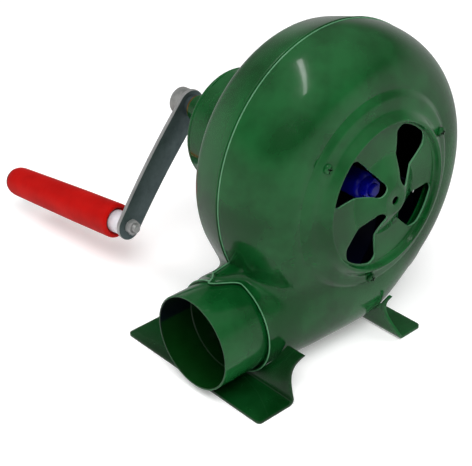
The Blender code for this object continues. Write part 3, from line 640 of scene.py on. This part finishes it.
def add_tube(bm, path, radius, slot):
    """A round bead along an open path, with its ends closed, added to bm."""
    sides = 10
    rings = []
    side = None
    for i, point in enumerate(path):
        ahead = Vector(path[min(i + 1, len(path) - 1)] - path[max(i - 1, 0)]).normalized()
        if side is None:
            side = ahead.orthogonal().normalized()
        side = (side - ahead * side.dot(ahead)).normalized()
        other = ahead.cross(side)
        rings.append([
            bm.verts.new(Vector(point) + radius * (side * math.cos(a) + other * math.sin(a)))
            for a in (FULL * k / sides for k in range(sides))
        ])
    faces = []
    for ring, after in zip(rings, rings[1:]):
        for i in range(sides):
            j = (i + 1) % sides
            faces.append(bm.faces.new((ring[i], ring[j], after[j], after[i])))
    faces.append(bm.faces.new(rings[0]))
    faces.append(bm.faces.new(rings[-1]))
    for face in faces:
        face.material_index = slot


def shell(name, field, seam_y, keep_front, lip_x, hole):
    bm = level_mesh(field)
    away = (0, 1, 0) if keep_front else (0, -1, 0)
    cut(bm, (0, seam_y, 0), away)
    cut(bm, (lip_x, 0, 0), (-1, 0, 0), lambda c: c.z < NECK_CUT_TOP and c.x < NECK_CUT_X)
    bore(bm, *hole)
    seam = even(edge_path(bm, lambda co: abs(co.y - seam_y) < 0.01), 2)
    lip = even(
        edge_path(bm, lambda co: abs(co.x - lip_x) < 0.01 and co.z < NECK_CUT_TOP), 1.5
    )
    if keep_front:
        lip = lip_stretch(lip)
        seam = lip_stretch(seam)
        points = lip_stretch(np.array([v.co for v in bm.verts]))
        for v, point in zip(bm.verts, points):
            v.co = point
    for v in bm.verts:
        v.co = v.co * MM + ORIGIN
    data = bpy.data.meshes.new(name)
    bmesh.ops.recalc_face_normals(bm, faces=bm.faces)
    if np.mean([f.normal.y for f in bm.faces]) * (-1 if keep_front else 1) < 0:
        bmesh.ops.reverse_faces(bm, faces=bm.faces)
    bm.to_mesh(data)
    bm.free()
    obj = piece(
        name, data, [GREEN, INSIDE_SHADE, GREEN, GREEN_EDGE_HIGHLIGHT], "housing",
        [name.replace("_skin", "")],
    )
    thick = obj.modifiers.new("sheet", "SOLIDIFY")
    thick.thickness = SHEET * MM
    thick.offset = -1
    # The inner faces take slot 1, the near black painted shade.
    thick.material_offset = 1
    thick.material_offset_rim = 2
    apply_modifiers(obj)
    bm = bmesh.new()
    bm.from_mesh(obj.data)
    # The lip bead and the front seam bead take slot 3, the painted edge highlight.
    beads = [(lip, 0.45, 3), (seam, 0.5, 3) if keep_front else (seam, 0.75, 0)]
    for path, radius, material in beads:
        add_tube(bm, to_row(path), radius * MM, material)
    bm.to_mesh(obj.data)
    bm.free()
    obj.data.shade_smooth()
    obj.data.set_sharp_from_angle(angle=math.radians(50))
    return obj


def outlet_sleeve():
    profile = [
        (30.9, -122), (32.2, -122), (32.2, -80), (30.2, -80), (30.2, -96.3), (30.9, -97),
    ]
    points, faces = revolve(rounded(profile, 0.35), 128)
    middle_y, middle_z = NECK_CENTRE
    turned_points = np.stack(
        (points[:, 1], middle_y - points[:, 0], middle_z + points[:, 2]), axis=1
    )
    data = make_mesh("outlet_nozzle", turned_points, faces)
    obj = piece(
        "outlet_nozzle", data, [GREEN, GREEN_INSIDE_SHADE, MOUTH_SHADE], "housing",
        ["outlet_sleeve"],
    )
    # Inside the sleeve: painted shade, darker green below and near black navy above, with the line
    # between them rising away from the mouth.
    for face in data.polygons:
        centre = np.array(face.center - ORIGIN) / MM
        across, up = centre[1] - middle_y, centre[2] - middle_z
        if math.hypot(across, up) < 31.2:
            face.material_index = 1 if up < -6 + 0.5 * (centre[0] + 122) else 2
    return obj


# Inlet cover


def petal_loop(angle):
    """The teardrop opening at an angle, as (x, z) points about the shaft: a round inner tip, sides
    that curve apart, round corners and an outer end that follows the rim."""
    inner, outer, tip, half_width, corner = 10.8, 46.8, 5.4, 15.6, 5.5
    start, finish = inner + tip, outer - corner
    side = [(inner + tip * (1 - math.cos(a)), tip * math.sin(a)) for a in np.linspace(0, QUARTER, 8)]
    for t in np.linspace(0, 1, 18)[1:-1]:
        side.append((start + (finish - start) * t, tip + (half_width - tip) * t**1.05))
    for a in np.linspace(0, QUARTER, 9):
        side.append((finish + corner * math.sin(a), half_width - corner * (1 - math.cos(a))))
    side += [(outer, (half_width - corner) * (1 - k / 5)) for k in range(1, 6)]
    loop = side + [(radius, -width) for radius, width in side[1:-1]][::-1]
    made = []
    for radius, width in loop:
        back = PETAL_SWING * (1 - (radius - inner) / (outer - inner)) ** 1.2
        turn = angle - back + width / radius
        made.append((radius * math.cos(turn), radius * math.sin(turn)))
    return made


def petal_cutter(index, angle):
    bm = bmesh.new()
    loop = petal_loop(angle)
    rows = [
        [bm.verts.new(Vector((x, y, SHAFT_HEIGHT + z)) * MM + ORIGIN) for x, z in loop]
        for y in (-70, -40)
    ]
    for i in range(len(loop)):
        j = (i + 1) % len(loop)
        bm.faces.new((rows[0][i], rows[0][j], rows[1][j], rows[1][i]))
    bm.faces.new(rows[0])
    bm.faces.new(rows[1])
    bmesh.ops.recalc_face_normals(bm, faces=bm.faces)
    # The cut walls of the petals take slot 1, the painted edge highlight.
    for face in bm.faces:
        face.material_index = 1
    data = bpy.data.meshes.new(f"petal_{index}")
    for material in (GREEN, GREEN_EDGE_HIGHLIGHT):
        data.materials.append(material)
    bm.to_mesh(data)
    bm.free()
    obj = bpy.data.objects.new(f"petal_{index}", data)
    bpy.context.scene.collection.objects.link(obj)
    return obj


def inlet_cover():
    front = [
        (66.9, -44.05), (65.9, -44.6), (64.4, -45.9), (62.6, -47.3), (60.5, -47.9),
        (57.5, PLATE_FACE), (55, -49.2), (52.4, -52.4), (50.8, -54.3), (49.8, -54.7),
        (48.7, -54), (47.6, -50.5), (27, -50.4), (11, -59), (9, -60), (2.8, -60),
    ]
    behind = [(66.9, -43.9), (65.8, -43.95), (64, -44.7)] + [(r, y + SHEET) for r, y in front[3:]]
    outside = rounded(front, 1.1, False, 5)
    inside = rounded(behind, 1.1, False, 5)
    points, faces = revolve(outside + inside[::-1], 160)
    points = points + np.array((0, 0, SHAFT_HEIGHT))
    data = make_mesh("inlet_plate", points, faces)
    obj = piece("inlet_plate", data, [GREEN, GREEN_EDGE_HIGHLIGHT], "housing", ["inlet_cover"])
    cutters = [petal_cutter(i, math.radians(angle)) for i, angle in enumerate(PETAL_ANGLES)]
    for cutter in cutters:
        step = obj.modifiers.new("petal", "BOOLEAN")
        step.operation = "DIFFERENCE"
        step.solver = "EXACT"
        step.object = cutter
    apply_modifiers(obj)
    for cutter in cutters:
        bpy.data.objects.remove(cutter)
    # The bevels take slot 1, the painted edge highlight.
    bevel = obj.modifiers.new("edges", "BEVEL")
    bevel.width = 0.45 * MM
    bevel.segments = 2
    bevel.material = 1
    bevel.limit_method = "ANGLE"
    bevel.angle_limit = math.radians(60)
    bevel.use_clamp_overlap = True
    apply_modifiers(obj)
    obj.data.shade_smooth()
    obj.data.set_sharp_from_angle(angle=math.radians(40))
    return obj


def pan_screw(name, centre, seat, facing, head_radius, head, replaced, material):
    """A pan head with a cross slot, on a seat, facing the front (-1) or the back (1)."""
    x, z = centre
    crown = seat + facing * head
    profile = [
        (0, crown), (0.55 * head_radius, crown - facing * 0.06 * head),
        (0.9 * head_radius, crown - facing * 0.35 * head), (head_radius, crown - facing * 0.75 * head),
        (head_radius, seat - facing * 0.05), (1.5, seat - facing * 0.05), (1.5, seat - facing * 8),
        (0, seat - facing * 8),
    ]
    points, faces = revolve(rounded(profile, 0.5, False), 32, False)
    faces = drop_flat(points, faces)
    points = points + np.array((x, 0, SHAFT_HEIGHT + z))
    data = make_mesh(name, points, faces)
    obj = piece(name, data, [material, SLOT_SHADE], "housing", [replaced])
    bars = []
    for half_x, half_z in ((0.42, 0.66 * head_radius), (0.66 * head_radius, 0.42)):
        bpy.ops.mesh.primitive_cube_add(size=1)
        bar = bpy.context.object
        bar.location = Vector((x, crown, SHAFT_HEIGHT + z)) * MM + ORIGIN
        bar.scale = Vector((2 * half_x, 1.9, 2 * half_z)) * MM
        bar.rotation_euler = (0, 0.5 + x * 0.13, 0)
        # The slot's walls take the near black, which is painted shade.
        for slot_material in (material, SLOT_SHADE):
            bar.data.materials.append(slot_material)
        for face in bar.data.polygons:
            face.material_index = 1
        bars.append(bar)
        step = obj.modifiers.new("slot", "BOOLEAN")
        step.operation = "DIFFERENCE"
        step.solver = "EXACT"
        step.object = bar
    apply_modifiers(obj)
    for bar in bars:
        bpy.data.objects.remove(bar)
    obj.data.shade_smooth()
    obj.data.set_sharp_from_angle(angle=math.radians(35))


def spot_on(radius, degrees):
    return radius * math.cos(math.radians(degrees)), radius * math.sin(math.radians(degrees))


# Feet


def foot(name, outer_x, fold_x, lean, horn, hollow, set_back, material, replaced):
    """A folded sheet: flange, bend and a web whose top edge follows the housing."""
    front_y, back_y = -58, 73
    thick = 1.8
    bend = 4
    toward = math.copysign(1, fold_x - outer_x)
    columns = 72
    corner = 3

    def side_cut(z):
        rise = min(max(z - bend, 0) / (horn - bend), 1)
        return hollow * math.sin(math.pi * rise) + set_back * rise, 24 * (1 - (1 - rise) ** 2.2)

    def web_x(z):
        return fold_x + lean * (z - bend)

    def housing_gap(y, z):
        spot = np.array([[web_x(z) - 0.5 * thick, y, z]])
        return float(min(front_field(spot)[0] if y < 0 else back_field(spot)[0], 99))

    flat = []
    for i in range(9):
        a = QUARTER * i / 8
        flat.append((outer_x + toward * corner * (1 - math.cos(a)), 0.0, corner * (1 - math.sin(a))))
    for i in range(9):
        a = QUARTER * i / 8
        flat.append((fold_x - toward * bend * (1 - math.sin(a)), bend * (1 - math.cos(a)), 0.0))
    rows = []
    for x, z, inset in flat:
        low, high = front_y + inset, back_y - inset
        rows.append([(x, low + (high - low) * i / columns, z) for i in range(columns + 1)])
    tops = []
    for i in range(columns + 1):
        share = i / columns
        z = bend
        while z < horn:
            front_cut, back_cut = side_cut(z)
            y = front_y + front_cut + (back_y - back_cut - front_y - front_cut) * share
            if housing_gap(y, z + 0.3) < 0.35:
                break
            z += 0.3
        tops.append(z)
    for k in range(1, 15):
        line = []
        for i in range(columns + 1):
            z = bend + (tops[i] - bend) * k / 14
            front_cut, back_cut = side_cut(z)
            low, high = front_y + front_cut, back_y - back_cut
            line.append((web_x(z), low + (high - low) * i / columns, z))
        rows.append(line)
    points = [p for row in rows for p in row]
    n = columns + 1
    faces = [
        (r * n + i, r * n + i + 1, (r + 1) * n + i + 1, (r + 1) * n + i)
        for r in range(len(rows) - 1)
        for i in range(columns)
    ]
    data = make_mesh(name, points, faces, 60)
    obj = piece(name, data, [material], "housing", [replaced])
    facing_up = sum(p.normal.z for p in data.polygons) > 0
    sheet = obj.modifiers.new("sheet", "SOLIDIFY")
    sheet.thickness = thick * MM
    sheet.offset = 1.0 if facing_up else -1.0
    bevel = obj.modifiers.new("edges", "BEVEL")
    bevel.width = 0.35 * MM
    bevel.segments = 2
    bevel.limit_method = "ANGLE"
    bevel.angle_limit = math.radians(55)
    apply_modifiers(obj)
    obj.data.shade_smooth()
    obj.data.set_sharp_from_angle(angle=math.radians(45))
    return obj


# Fan


def fan_blade(index):
    """A swept blade of folded sheet, with a foot that lies on the disc."""
    wall = SHEET
    back = 21.7
    steps = 24
    sections = []
    for i in range(steps + 1):
        t = i / steps
        radius = BLADE_INNER + (BLADE_OUTER - BLADE_INNER) * t
        angle = BLADE_SWEEP * t**BLADE_CURVE
        lead = math.atan2(radius * BLADE_SWEEP * BLADE_CURVE * max(t, 0.02) ** 0.3, 49)
        side = angle + lead + QUARTER
        normal = np.array((math.cos(side), 0, math.sin(side)))
        point = np.array((radius * math.cos(angle), 0, radius * math.sin(angle)))
        front = -35 + 4 * t
        corners = (
            (0, front), (wall, front), (wall, back - wall), (8, back - wall), (8, back), (0, back),
        )
        sections.append([point + normal * out + np.array((0, y, 0)) for out, y in corners])
    turn = FIRST_BLADE_TURN + FULL * (index - 1) / BLADES
    c, s = math.cos(turn), math.sin(turn)
    points = []
    for section in sections:
        for x, y, z in section:
            points.append((x * c - z * s, y, x * s + z * c + SHAFT_HEIGHT))
    n = len(sections[0])
    faces = [
        (r * n + k, r * n + (k + 1) % n, (r + 1) * n + (k + 1) % n, (r + 1) * n + k)
        for r in range(steps)
        for k in range(n)
    ]
    faces += [tuple(range(n)), tuple(range(steps * n, steps * n + n))]
    name = f"blade_{index}"
    data = make_mesh(name, points, faces)
    # The blade takes the near black blue, which is painted shade.
    return piece(name, data, [SHADED_BLADE_BLUE], "fan", [f"fan_blade_{index}"])


def fan_hub():
    """The hub runs forward along the shaft, with its nut and the end of the shaft before it."""
    turned(
        "wheel_hub",
        [(4.3, -35), (7.2, -35), (9, -33), (9, 23.5), (18, 23.5), (18, 26.1), (9, 26.1),
         (9, 27.5), (4.3, 27.5)],
        BLUE, "fan", ["fan_hub"], 64, bevel=1.2,
    )
    nut_frame = Matrix.Translation((0, 0, SHAFT_HEIGHT))
    hex_nut(
        "wheel_nut", nut_frame, 13, -41.2, -35.2, 4.3, 0.2, BLUE, "fan", "fan_nut"
    )


# Drum and its covers


def gear_housing():
    def lapped(radius, angle):
        """The drum is one sheet rolled round, so that its end laps a step outside its start."""
        if radius < DRUM_INSIDE + 0.5:
            return radius
        past = math.degrees(angle) % 360 - 118
        return radius - (0.55 * smooth_step((past + 22) / 20) if -22 < past < 0 else 0)

    turned(
        "drum_wall",
        [(DRUM_INSIDE, 39.1), (DRUM_RADIUS, 39.1), (DRUM_RADIUS, 88), (DRUM_INSIDE, 88)],
        GREEN, "housing", ["gearbox_drum"], 180, radius_at=lapped,
    )
    turned(
        "drum_base",
        [(8.2, 30), (13, 30), (13, 36.3), (48, 36.3), (48, 38.8), (40.1, 38.8), (40.1, 42), (37.9, 42),
         (37.9, 39.6), (14, 39.6), (12, 46), (8.2, 46)],
        GREEN, "housing", ["gearbox_base"], 128, bevel=0.5,
    )
    rim = DRUM_BACK
    turned(
        "drum_cap",
        [(38.6, rim - 2.8), (40.1, rim - 2.8), (40.1, rim), (DRUM_RADIUS, rim),
         (DRUM_RADIUS, rim + 1.9), (DRUM_RADIUS - 1, rim + 2.9), (31, rim + 2.9), (12.4, 111),
         (10.4, 114.5), (10.4, 127.2), (9.6, 128), (7.9, 128), (7.9, 101), (29, rim),
         (38.6, rim)],
        GREEN, "housing", ["gearbox_cover"], 128, bevel=1.2,
    )
    turned(
        "crank_bearing",
        [(5.3, 102.5), (7.6, 102.5), (7.6, 128.3), (9.2, 128.3), (9.2, 130), (5.3, 130)],
        BRONZE, "housing", ["crank_bush"], 64,
    )
    for i, angle in enumerate((90, 210, 330), 1):
        pan_screw(f"flange_screw_{i}", spot_on(44.8, angle), 38.9, 1, 2.7, 2,
                  f"base_screw_{i}", GREEN)
    for i, angle in enumerate((30, 150, 270), 1):
        pan_screw(f"cap_screw_{i}", spot_on(35, angle), rim + 3, 1, 3, 2,
                  f"tie_screw_{i}", GREEN)


# Crank


CRANK_MATRIX = Matrix.Translation((0, 0, SHAFT_HEIGHT)) @ Matrix.Rotation(-CRANK_ANGLE, 4, "Y")


def arm_set(x):
    """How far the bowed arm has come towards the housing at x along it."""
    start, finish = ARM_BOW
    past = min(max(x - start, 0), finish - start)
    return math.tan(GRIP_SPLAY) * (past * past / 2 / (finish - start) + max(x - finish, 0))


def pin_matrix():
    """The grip's frame: its y axis runs from the arm towards the free end of the grip."""
    spot = (CRANK_THROW, ARM_Y - arm_set(CRANK_THROW), 0)
    return CRANK_MATRIX @ Matrix.Translation(spot) @ Matrix.Rotation(-GRIP_SPLAY, 4, "Z")


def crank_arm():
    hub, end = 11.5, 10.25
    lean = math.asin((hub - end) / CRANK_THROW)
    steps = 32
    outline = [
        (CRANK_THROW + end * math.cos(a), end * math.sin(a))
        for a in (-(QUARTER - lean) + (math.pi - 2 * lean) * i / steps for i in range(steps + 1))
    ]
    sides = 24
    inner = [
        (hub * math.cos(a), hub * math.sin(a))
        for a in (QUARTER - lean + (math.pi + 2 * lean) * i / steps for i in range(steps + 1))
    ]

    def between(a, b):
        return [
            (a[0] + (b[0] - a[0]) * k / sides, a[1] + (b[1] - a[1]) * k / sides)
            for k in range(1, sides)
        ]

    loop = outline + between(outline[-1], inner[0]) + inner + between(inner[-1], outline[0])
    half = ARM_SHEET / 2
    chamfer = 0.45
    centre = np.array(loop)
    tangent = np.roll(centre, -1, 0) - np.roll(centre, 1, 0)
    tangent /= np.linalg.norm(tangent, axis=1)[:, None]
    outward = np.stack((tangent[:, 1], -tangent[:, 0]), axis=1)

    bm = bmesh.new()

    def ring(inset, y):
        made = []
        for (x, z), (ox, oz) in zip(centre, outward):
            made.append(bm.verts.new((x - ox * inset, y, z - oz * inset)))
        return made

    rounding = 0.13
    rings = [
        ring(chamfer, -half), ring(rounding, -half + rounding), ring(0, -half + chamfer),
        ring(0, half - chamfer), ring(rounding, half - rounding), ring(chamfer, half),
    ]
    for a, b in zip(rings, rings[1:]):
        for i in range(len(a)):
            j = (i + 1) % len(a)
            face = bm.faces.new((a[i], a[j], b[j], b[i]))
            face.material_index = 1
    bm.faces.new(rings[0])
    bm.faces.new(rings[-1])
    for x in range(ARM_BOW[0], ARM_BOW[1] + 1, 4):
        everything = [*bm.verts, *bm.edges, *bm.faces]
        bmesh.ops.bisect_plane(bm, geom=everything, plane_co=(x, 0, 0), plane_no=(1, 0, 0))
    bmesh.ops.recalc_face_normals(bm, faces=bm.faces)
    for v in bm.verts:
        v.co.y = v.co.y + ARM_Y - arm_set(v.co.x)
        v.co = CRANK_MATRIX @ v.co
        v.co = v.co * MM + ORIGIN
    data = bpy.data.meshes.new("crank_bar")
    bm.to_mesh(data)
    bm.free()
    data.shade_smooth()
    data.set_sharp_from_angle(angle=math.radians(40))
    return piece("crank_bar", data, [SLATE, BRIGHT], "crank", ["crank_arm"])


def hex_nut(name, matrix, across, front, back, bore_radius, turn, material, body, replaced):
    """A nut with chamfered corners and a plain bore, along the matrix's y axis."""
    bm = bmesh.new()
    corner = across / math.sqrt(3)
    sides = 48

    def reach(angle):
        sector = (angle - turn) % (FULL / 6) - FULL / 12
        return across / 2 / math.cos(sector)

    def ring(y, limit):
        made = []
        for k in range(sides):
            a = turn + FULL * k / sides
            r = min(reach(a), limit)
            made.append(bm.verts.new((r * math.cos(a), y, r * math.sin(a))))
        return made

    def round_ring(y, radius):
        return [
            bm.verts.new((radius * math.cos(a), y, radius * math.sin(a)))
            for a in (turn + FULL * k / sides for k in range(sides))
        ]

    chamfer = 0.75
    rings = [
        round_ring(front + 0.5, bore_radius), round_ring(front, bore_radius + 0.5),
        ring(front, across / 2 * 0.97), ring(front + chamfer, corner),
        ring(back - chamfer, corner), ring(back, across / 2 * 0.97),
        round_ring(back, bore_radius + 0.5), round_ring(back - 0.5, bore_radius),
    ]
    for a, b in zip(rings, rings[1:] + rings[:1]):
        for i in range(sides):
            j = (i + 1) % sides
            bm.faces.new((a[i], a[j], b[j], b[i]))
    bmesh.ops.recalc_face_normals(bm, faces=bm.faces)
    for v in bm.verts:
        v.co = (matrix @ v.co) * MM + ORIGIN
    data = bpy.data.meshes.new(name)
    bm.to_mesh(data)
    bm.free()
    data.shade_smooth()
    data.set_sharp_from_angle(angle=math.radians(25))
    return piece(name, data, [material], body, [replaced])


def crank():
    turned(
        "crank_axle",
        [(0, 64), (4.4, 64), (5, 64.6), (5, 74.3), (7.2, 74.3), (7.2, 80), (5, 80), (5, 145.9),
         (4.4, 146.5), (0, 146.5)],
        BRIGHT, "crank", ["crank_shaft"], 48, False,
    )
    turned(
        "arm_spacer", [(5.3, 130.3), (8, 130.3), (8, 134.7), (5.3, 134.7)],
        SLATE, "crank", ["crank_spacer"], 48,
    )
    turned(
        "arm_boss", [(5.3, 138.3), (10.3, 138.3), (10.3, 147.9), (5.3, 147.9)],
        CAST, "crank", ["crank_boss"], 72, bevel=0.9,
    )
    crank_arm()
    pin = pin_matrix()
    face = ARM_SHEET / 2 + 0.3
    hex_nut(
        "bolt_nut", pin, 10, -face - 5, -face, 3.3, 0.3, BRIGHT, "crank",
        "grip_nut",
    )
    thread = [(0, -face - 8), (2.2, -face - 8)]
    y = -face - 7.5
    while y < face:
        thread += [(3.0, y), (2.62, y + 0.5)]
        y += 1.0
    seat = GRIP_END - 11.7
    thread += [
        (3, face + 2), (3, seat), (5.2, seat), (5.2, seat + 3), (4.4, seat + 4), (0, seat + 4),
    ]
    turned(
        "grip_pin", thread, BRIGHT, "crank", ["grip_bolt"], 40, False,
        matrix=pin, bevel=0.1, smooth_angle=30,
    )
    sleeve_end = GRIP_START + 2.2
    turned(
        "grip_sleeve", [(3.3, face), (8.4, face), (8.4, sleeve_end), (3.3, sleeve_end)],
        WHITE, "crank", ["grip_collar"], 64, matrix=pin, bevel=0.8,
    )


def grip():
    pin = pin_matrix()
    straight = GRIP_END - 9
    profile = [
        (3.3, GRIP_START + 2.5), (9.4, GRIP_START + 2.5), (10.2, GRIP_START), (12, GRIP_START),
        (13, GRIP_START + 1.5), (12.7, 55), (12.0, 98),
        (11.4, straight), (10.9, straight + 3.4), (9.6, straight + 6.6),
        (7.8, straight + 8.5), (6.6, GRIP_END), (6.6, GRIP_END - 12), (3.3, GRIP_END - 12),
    ]
    shaped = rounded(profile, 0.9, True, 4)
    dense = []
    for a, b in zip(shaped, shaped[1:] + shaped[:1]):
        dense.append(a)
        gap = abs(b[1] - a[1])
        extra = int(gap / 2.5) if a[0] > 9 and b[0] > 9 else 0
        for k in range(1, extra + 1):
            t = k / (extra + 1)
            dense.append((a[0] + (b[0] - a[0]) * t, a[1] + (b[1] - a[1]) * t))
    points, faces = revolve(dense, 96)
    points = np.array([pin @ Vector(p) for p in points])
    data = make_mesh("grip_handle", points, faces)
    obj = piece("grip_handle", data, [RED, RED_SHADED_END], "grip", ["grip"])
    # Faces at the free end and in the bore take the darker red, which is painted shade.
    back = pin.inverted()
    for face in data.polygons:
        local = back @ ((face.center - ORIGIN) / MM)
        if local.y > GRIP_END - 4.5 or math.hypot(local.x, local.z) < 6.7:
            face.material_index = 1
    return obj


def dress_frame():
    """Materials for the CAD pieces that stay: those inside the housing and the drum."""
    # The fan disc takes the near black blue of the blades, which is painted shade.
    looks = {
        "fan_disc": SHADED_BLADE_BLUE, "fan_shaft": BLUE, "output_pinion": GEAR,
        "fan_rivet_1": BRIGHT, "fan_rivet_2": BRIGHT, "fan_rivet_3": BRIGHT, "idler_gear": GEAR,
        "idler_pinion": GEAR, "crank_gear": GEAR, "idler_axle": BRIGHT, "shaft_bush": BRONZE,
    }
    for name, material in looks.items():
        for slot in frame["nodes"][name].material_slots:
            slot.material = material


# Stage, lights and camera


def aim(obj, target):
    obj.rotation_euler = (Vector(target) - obj.location).to_track_quat("-Z", "Y").to_euler()


def area_light(name, place, target, size, power, glossy=True):
    data = bpy.data.lights.new(name, "AREA")
    data.shape = "RECTANGLE"
    data.size, data.size_y = size
    data.energy = power
    obj = bpy.data.objects.new(name, data)
    bpy.context.scene.collection.objects.link(obj)
    obj.location = place
    aim(obj, target)
    obj.visible_glossy = glossy


def stage():
    bpy.ops.mesh.primitive_plane_add(size=8, location=(0, 0, -0.0003))
    floor = bpy.context.object
    floor.name = "floor"
    material, _, shader = new_material("pale_floor")
    shader.inputs["Base Color"].default_value = (0.93, 0.93, 0.93, 1)
    shader.inputs["Emission Color"].default_value = (1, 1, 1, 1)
    shader.inputs["Emission Strength"].default_value = 0.25
    shader.inputs["Roughness"].default_value = 0.8
    floor.data.materials.append(material)
    floor.visible_glossy = False

    world = bpy.data.worlds.new("studio")
    bpy.context.scene.world = world
    world.use_nodes = True
    tree = world.node_tree
    seen = tree.nodes["Background"]
    seen.inputs["Color"].default_value = (1, 1, 1, 1)
    lit = node(tree, "ShaderNodeBackground")
    coords = node(tree, "ShaderNodeTexCoord")
    parts = node(tree, "ShaderNodeSeparateXYZ")
    tree.links.new(coords.outputs["Generated"], parts.inputs["Vector"])
    sweep = ramp(tree, parts.outputs["Z"], [
        (0.0, (0.36, 0.36, 0.36)), (0.16, (0.32, 0.32, 0.32)), (0.42, (0.1, 0.1, 0.1)),
        (1.0, (0.26, 0.26, 0.26)),
    ])
    tree.links.new(sweep, lit.inputs["Color"])
    paths = node(tree, "ShaderNodeLightPath")
    choose = node(tree, "ShaderNodeMixShader")
    tree.links.new(paths.outputs["Is Camera Ray"], choose.inputs["Fac"])
    tree.links.new(lit.outputs["Background"], choose.inputs[1])
    tree.links.new(seen.outputs["Background"], choose.inputs[2])
    tree.links.new(choose.outputs["Shader"], tree.nodes["World Output"].inputs["Surface"])

    area_light("key", (-0.9, -1.2, 2.0), (0, 0, 0.1), (1.6, 1.4), 50, glossy=False)
    area_light("fill", (1.8, -0.9, 1.3), (0, 0, 0.1), (1.2, 1.4), 18, glossy=False)
    area_light("rim", (-0.9, 1.5, 1.6), (0, 0, 0.1), (1.2, 0.8), 14, glossy=False)
    area_light("sheen", (-0.2, 0.1, 2.0), (0, 0, 0.1), (1.5, 0.12), 3)


def camera():
    data = bpy.data.cameras.new("camera")
    data.sensor_width = 36
    data.lens = 91.6
    obj = bpy.data.objects.new("camera", data)
    bpy.context.scene.collection.objects.link(obj)
    right = Vector((0.743, -0.669, -0.019))
    up = Vector((0.3556, 0.3705, 0.8581))
    back = -Vector((0.567, 0.6443, -0.5132))
    place = ORIGIN + Vector((-500.3, -478.9, 478.9)) * MM
    obj.matrix_world = Matrix((
        (right.x, up.x, back.x, place.x),
        (right.y, up.y, back.y, place.y),
        (right.z, up.z, back.z, place.z),
        (0, 0, 0, 1),
    ))
    bpy.context.scene.camera = obj


shell("front_shell_skin", front_field, FRONT_SEAM_Y, True, FRONT_LIP_X, (50, -FRONT_DEPTH))
shell("back_shell_skin", back_field, BACK_SEAM_Y, False, BACK_LIP_X, (15, BACK_FACE))
outlet_sleeve()
inlet_cover()
for number, angle_of in enumerate((144, 24, -96), 1):
    pan_screw(f"plate_screw_{number}", spot_on(60, angle_of), PLATE_FACE, -1, 3.3, 2.1,
              f"cover_screw_{number}", GREEN)
# The nozzle foot takes the darker green, which is painted shade; the housing foot keeps the plain
# green.
foot("nozzle_foot", -114.5, -84.7, 0.42, 31, 6.5, 1.5, SHADED_FOOT_GREEN, "front_foot")
foot("housing_foot", 36.2, 13.9, 0.0, 30, 9, 9, GREEN, "rear_foot")
for number in range(1, BLADES + 1):
    fan_blade(number)
fan_hub()
gear_housing()
crank()
grip()
dress_frame()
stage()
camera()

scene = bpy.context.scene
scene.view_settings.view_transform = "Standard"
